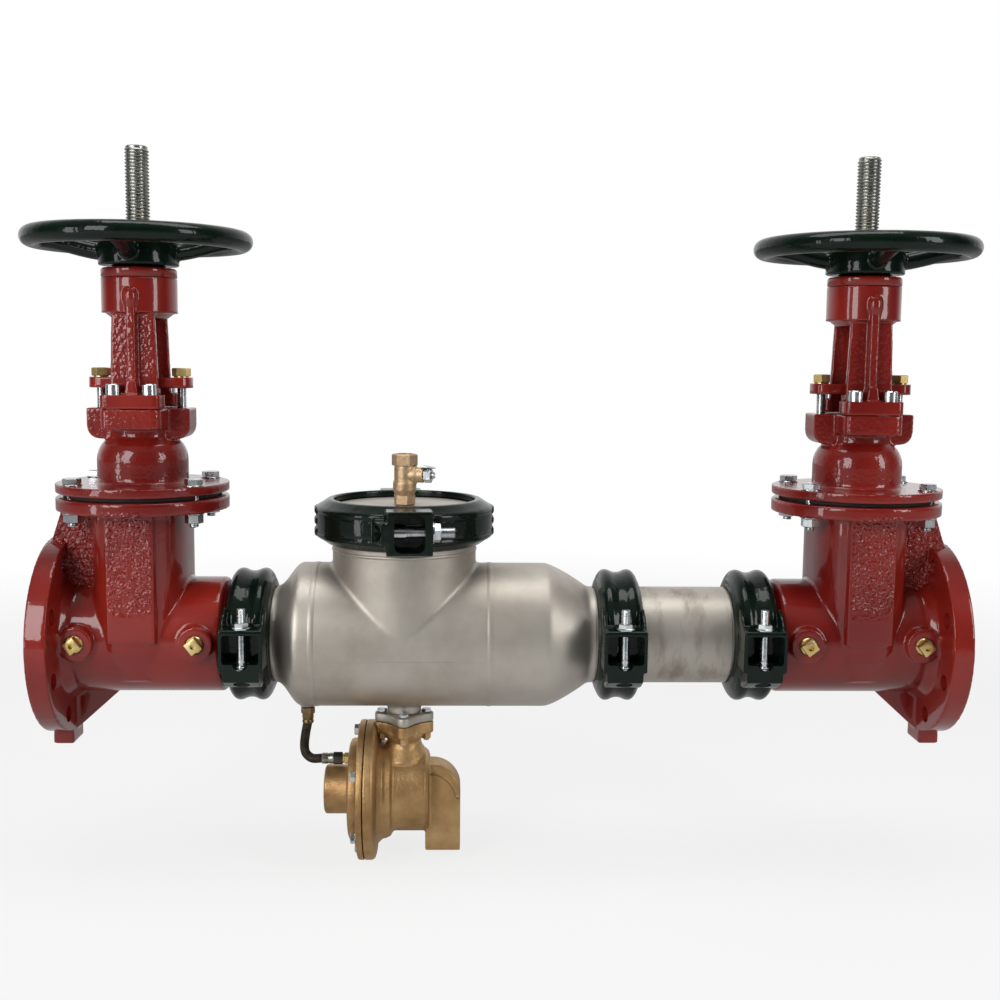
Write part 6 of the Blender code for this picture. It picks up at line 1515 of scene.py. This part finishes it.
def sensingHose():
    h = hose
    path = hosePath()
    core = sweep("hoseCore", path, [h["radius"] - 0.0003] * len(path), 24)
    routeMesh = bpy.data.meshes.new("hosePath")
    routeMesh.from_pydata([tuple(p) for p in path], [(i, i + 1) for i in range(len(path) - 1)], [])
    weave = growFrom("braid", "hoseWeave", routeMesh, Radius=h["radius"] - 0.0001, Strand=h["strand"],
                     Strands=h["strands"], Turns=h["turns"], Steps=220, Finish=finish["braid"])
    done(core, "assembly", "braid", "rubber", stands=["sensing_hose"], smooth=60)
    done(weave, "assembly", "braid", smooth=60)
    top, low = h["top"], h["top"] - h["fitting"]
    parts = [
        hexHead("upperNut", h["nut"], top - 0.0085, top - 0.0003),
        lathe("collar", solid([(0.0062, low + 0.0105), (0.0070, low + 0.0108), (0.0070, top - 0.0080)]), 32),
        lathe("crimp", solid([(0.0061, low), (0.0068, low + 0.0006), (0.0068, low + 0.0030), (0.0063, low + 0.0038),
                              (0.0063, low + 0.0050), (0.0068, low + 0.0058), (0.0068, low + 0.0108)]), 32)]
    upper = merge("hoseUpperFitting", parts)
    upper.data.transform(Matrix.Translation((h["topX"], 0, 0)))
    done(upper, "assembly", "braid", "agedBrass", smooth=35)
    # lower end: steel sleeve crimped on the hose, dark nut, brass stub in the cover
    end = h["end"]
    sleeve = lathe("lowerSleeve", solid([(0.0060, end - 0.0335), (0.0066, end - 0.0330), (0.0066, end - 0.0270),
                                         (0.0061, end - 0.0262), (0.0061, end - 0.0248), (0.0066, end - 0.0240),
                                         (0.0066, end - 0.0190)]), 32, alongX, (0, 0, h["port"]))
    done(sleeve, "assembly", "braid", "stem_steel", smooth=35)
    nut = hexHead("lowerNut", h["lowerNut"] + 0.0004, end - 0.0195, end - 0.0085)
    nut.data.transform(Matrix.Translation((0, 0, h["port"])) @ alongX)
    done(nut, "assembly", "braid", "darkSteel", smooth=35)
    parts = [hexHead("lowerStub", h["lowerNut"] - 0.0004, end - 0.0065, end - 0.0002),
             lathe("neck", solid([(0.0056, end - 0.0120), (0.0056, end - 0.0002)]), 32)]
    lower = merge("hoseLowerFitting", parts)
    lower.data.transform(Matrix.Translation((0, 0, h["port"])) @ alongX)
    done(lower, "assembly", "brass", smooth=30)


sensingHose()

cock = {"x": 0.411, "seat": 0.1550, "hex": 0.0130, "hexHigh": 0.1680, "bulb": 0.0138, "bulbHigh": 0.1835,
        "barrel": 0.01235, "barrelHigh": 0.2008, "head": 0.0153, "headHigh": 0.2148, "centre": 0.190275,
        "turn": math.radians(-14), "side": 0.0090, "sideReach": 0.0236, "stem": 0.0045, "stemReach": 0.0365,
        "nut": 0.0096, "nutLow": 0.0240, "nutHigh": 0.0330, "shank": 0.0085}


def testCock():
    c = cock
    z0 = c["centre"]
    place = Matrix.Translation((c["x"], 0, z0)) @ Matrix.Rotation(c["turn"], 4, "Z")
    cast = castFrom("cockCasting", [
        lathe("spine", solid([(0.0112, c["hexHigh"] - 0.003 - z0), (0.0118, c["hexHigh"] + 0.0004 - z0),
                              (c["bulb"], c["hexHigh"] + 0.0035 - z0), (c["bulb"], c["bulbHigh"] - 0.003 - z0),
                              (c["bulb"] - 0.0006, c["bulbHigh"] - 0.0005 - z0),
                              (c["barrel"], c["bulbHigh"] + 0.0008 - z0),
                              (c["barrel"], c["barrelHigh"] - 0.002 - z0),
                              (0.0117, c["barrelHigh"] + 0.001 - z0)]), 64),
        drum("side", c["side"], 0.002, c["sideReach"], axis=alongX, sides=40),
        drum("boss", c["side"] + 0.0016, 0.002, 0.0145, axis=alongX, sides=40)], 0.0007, 2)
    markSand(cast, lambda p: 0.8)
    # the top hexagon is drilled before the parts are put together
    top = hexHead("top", c["head"], c["barrelHigh"] - z0, c["headHigh"] - z0)
    machine(top, [drum("bore", 0.0092, c["headHigh"] - 0.010 - z0, c["headHigh"] + 0.01 - z0, sides=40)], "EXACT")
    top.data.transform(Matrix.Rotation(math.radians(9), 4, "Z"))
    base = hexHead("base", c["hex"], c["seat"] - z0 + 0.0002, c["hexHigh"] - 0.0005 - z0)
    shank = drum("shank", c["shank"], c["seat"] - 0.0085 - z0, c["seat"] + 0.001 - z0, sides=32)
    machined = merge("cockHexes", [top, base, shank])
    for piece in (cast, machined):
        piece.data.transform(place)
    cast.name = "testCockCasting"
    machined.name = "testCockHexes"
    markSand(machined, lambda p: 0.0)
    done(cast, "assembly", "bronze", "paleBronze", stands=["test_cock_body"], smooth=50)
    done(machined, "assembly", "bronze", "paleBronze", smooth=30)
    # the plug's stem: packing nut, stop plate and slotted end
    reach = c["stemReach"]
    screw = thread("screw", c["stem"], 0.0011, c["nutHigh"] - 0.001, reach - 0.001, around=20, depth=0.0005)
    tip = lathe("tip", solid([(c["stem"] - 0.0006, reach - 0.003), (c["stem"] - 0.0006, reach - 0.0006),
                              (c["stem"] - 0.0012, reach)]), 32, alongX)
    machine(tip, [box("slot", (reach - 0.0016, -0.02, -0.0007), (reach + 0.01, 0.02, 0.0007))], "EXACT")
    inner = lathe("inner", solid([(c["stem"] - 0.0002, 0.004), (c["stem"] - 0.0002, c["nutHigh"])]), 32, alongX)
    nut = hexHead("nut", c["nut"] - 0.0006, c["nutLow"], c["nutHigh"])
    for piece in (screw, nut):
        piece.data.transform(alongX)
    stemPiece = merge("testCockStem", [screw, tip, inner, nut])
    stemPiece.data.transform(place)
    done(stemPiece, "test_cock_plug", "zinc", stands=["test_cock_stem"], smooth=30)
    plate = prism("stopPlate", [(0.0185, -0.0062), (0.0345, -0.0056), (0.0360, 0.0), (0.0345, 0.0056),
                                (0.0185, 0.0062)], 0.0100, 0.0113, edge=0.0004)
    plate.data.transform(Matrix.Translation((0.023, 0, 0.0)) @ Matrix.Rotation(math.radians(9), 4, "Y")
                         @ Matrix.Translation((-0.023, 0, 0.0)))
    plate.data.transform(place)
    plate.name = "testCockStopPlate"
    done(plate, "test_cock_plug", "zinc", smooth=30)


testCock()
print("hose and test cock done")


checkSpring = {"travel": 0.018, "radius": 0.020, "wire": 0.0016, "turns": 4}
springs = {"checkOneSpring": {"stands": "check_one_spring", "joint": "check_one_lift", **checkSpring},
           "checkTwoSpring": {"stands": "check_two_spring", "joint": "check_two_lift", **checkSpring},
           "reliefSpring": {"stands": "relief_spring", "joint": "relief_travel", "travel": 0.008,
                            "radius": 0.015, "wire": 0.0013, "turns": 3}}


def compressionSprings():
    # each spring fills the length of its solid
    for name, s in springs.items():
        node = cadNodes[s["stands"]]
        corners = [node.matrix_world @ Vector(corner) for corner in node.bound_box]
        low, high = min(c.x for c in corners), max(c.x for c in corners)
        middle = (min(c.z for c in corners) + max(c.z for c in corners)) / 2
        steps = 28 * s["turns"]
        first, last = low + s["wire"], high - s["wire"]
        path = [(first + (last - first) * i / steps, s["radius"] * math.cos(2 * math.pi * s["turns"] * i / steps),
                 middle + s["radius"] * math.sin(2 * math.pi * s["turns"] * i / steps)) for i in range(steps + 1)]
        piece = sweep(name, path, [s["wire"]] * len(path), 12, flatAxis=(1, 0, 0))
        done(piece, "assembly", "spring_steel", stands=[s["stands"]], smooth=60)
        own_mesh(piece)


compressionSprings()
print("springs done")

# floor, light and camera
studio = {"fill": 0.20, "room": 0.05, "ceiling": 0.30, "floorShown": 0.22, "floorGrey": 0.62, "nearWhite": 0.80,
          "left": 34, "right": 21, "top": 28, "side": 7, "shadowReach": 1.1, "shadowEnd": 2.6}


def shownRays(tree):
    path = addNode(tree, "ShaderNodeLightPath")
    mirrored = addNode(tree, "ShaderNodeMath", links={0: path.outputs["Is Glossy Ray"],
                                                      1: path.outputs["Is Transmission Ray"]}, operation="MAXIMUM")
    return path.outputs["Is Camera Ray"], mirrored.outputs[0]


def paleFloor():
    # a wide white sheet that keeps the object's shadow near it and runs out to plain white
    low = cadBox[0][2]
    shape = bmesh.new()
    corners = [shape.verts.new((x, y, low - 0.0005)) for x, y in ((-9, -8), (10, -8), (10, 20), (-9, 20))]
    shape.faces.new(corners)
    floor = asObject("floor", shape)
    material, tree, shader, place = startMaterial("matt_white_board", Metallic=0.0, Roughness=0.9)
    shader.inputs["Base Color"].default_value = (studio["floorGrey"],) * 3 + (1,)
    seen, mirrored = shownRays(tree)
    away = addNode(tree, "ShaderNodeVectorMath", links={0: place}, operation="DISTANCE")
    away.inputs[1].default_value = (line["riser"] + 0.12, 0.0, low)
    far = addNode(tree, "ShaderNodeMapRange", {"From Min": studio["shadowReach"], "From Max": studio["shadowEnd"],
                                               "To Min": studio["nearWhite"], "To Max": 1.0},
                  {"Value": away.outputs["Value"]}, interpolation_type="SMOOTHSTEP")
    shown = addNode(tree, "ShaderNodeMath", links={0: seen, 1: far.outputs[0]}, operation="MULTIPLY")
    glossed = addNode(tree, "ShaderNodeMath", {1: studio["floorShown"]}, {0: mirrored}, operation="MULTIPLY")
    share = addNode(tree, "ShaderNodeMath", links={0: shown.outputs[0], 1: glossed.outputs[0]}, operation="MAXIMUM")
    white = addNode(tree, "ShaderNodeEmission", {"Color": (1, 1, 1, 1), "Strength": 1.0})
    mix = addNode(tree, "ShaderNodeMixShader", links={0: share.outputs[0], 1: shader.outputs[0],
                                                      2: white.outputs[0]})
    out = next(n for n in tree.nodes if n.type == "OUTPUT_MATERIAL")
    tree.links.new(mix.outputs[0], out.inputs["Surface"])
    floor.data.materials.append(material)


def studioWorld():
    # white to the camera; in reflections the backdrop is white, the room before it dim, the ceiling between
    world = bpy.data.worlds.new("studio")
    bpy.context.scene.world = world
    world.use_nodes = True
    tree = world.node_tree
    tree.nodes.clear()
    seen, mirrored = shownRays(tree)
    towards = addNode(tree, "ShaderNodeSeparateXYZ",
                      links={"Vector": addNode(tree, "ShaderNodeTexCoord").outputs["Generated"]})
    backdrop = addNode(tree, "ShaderNodeMapRange", {"From Min": 0.05, "From Max": 0.75, "To Min": studio["room"],
                                                    "To Max": 1.0},
                       {"Value": towards.outputs["Y"]}, interpolation_type="SMOOTHSTEP")
    ceiling = addNode(tree, "ShaderNodeMapRange", {"From Min": 0.35, "From Max": 0.85, "To Min": 0.0,
                                                   "To Max": studio["ceiling"]},
                      {"Value": towards.outputs["Z"]}, interpolation_type="SMOOTHSTEP")
    room = addNode(tree, "ShaderNodeMath", links={0: backdrop.outputs[0], 1: ceiling.outputs[0]},
                   operation="MAXIMUM")
    fill = addNode(tree, "ShaderNodeMix", {0: 0.0}, {0: mirrored}, data_type="FLOAT")
    fill.inputs[2].default_value = studio["fill"]
    tree.links.new(room.outputs[0], fill.inputs[3])
    whole = addNode(tree, "ShaderNodeMix", {0: 0.0}, {0: seen}, data_type="FLOAT")
    tree.links.new(fill.outputs[0], whole.inputs[2])
    whole.inputs[3].default_value = 1.0
    light = addNode(tree, "ShaderNodeBackground", {"Color": (1, 1, 1, 1)}, {"Strength": whole.outputs[0]})
    addNode(tree, "ShaderNodeOutputWorld", links={"Surface": light.outputs[0]})


def softbox(name, place, target, width, height, watts):
    light = bpy.data.lights.new(name, "AREA")
    light.shape = "RECTANGLE"
    light.size = width
    light.size_y = height
    light.energy = watts
    lamp = bpy.data.objects.new(name, light)
    bpy.context.scene.collection.objects.link(lamp)
    lamp.location = place
    lamp.rotation_euler = (Vector(target) - Vector(place)).to_track_quat("-Z", "Y").to_euler()
    return lamp


studioWorld()
paleFloor()
softbox("leftSoftbox", (-0.95, -2.0, 0.95), (0.45, 0, 0.1), 0.9, 1.6, studio["left"])
softbox("rightSoftbox", (2.45, -1.25, 0.9), (0.6, 0, 0.1), 0.6, 1.5, studio["right"])
softbox("sideSoftbox", (-1.25, -1.05, 0.40), (0.15, 0, 0.2), 0.28, 1.2, studio["side"])
softbox("topSoftbox", (0.5, -0.1, 2.2), (0.5, 0, 0.1), 2.0, 0.9, studio["top"])

view = {"place": (0.4711, -1.4869, 0.3323), "pitch": 0.1147, "yaw": 0.0351, "roll": -0.0104, "lens": 45.678}


def photoCamera():
    yaw, pitch, roll = view["yaw"], view["pitch"], view["roll"]
    ahead = Vector((math.sin(yaw) * math.cos(pitch), math.cos(yaw) * math.cos(pitch), -math.sin(pitch)))
    level = Vector((math.cos(yaw), -math.sin(yaw), 0))
    down = ahead.cross(level)
    across = math.cos(roll) * level + math.sin(roll) * down
    sink = math.cos(roll) * down - math.sin(roll) * level
    camera = bpy.data.objects.new("camera", bpy.data.cameras.new("camera"))
    bpy.context.scene.collection.objects.link(camera)
    camera.data.sensor_width = 36
    camera.data.lens = view["lens"]
    turn = Matrix((across, -sink, -ahead)).transposed().to_4x4()
    camera.matrix_world = Matrix.Translation(view["place"]) @ turn
    bpy.context.scene.camera = camera


photoCamera()
print("stage set")
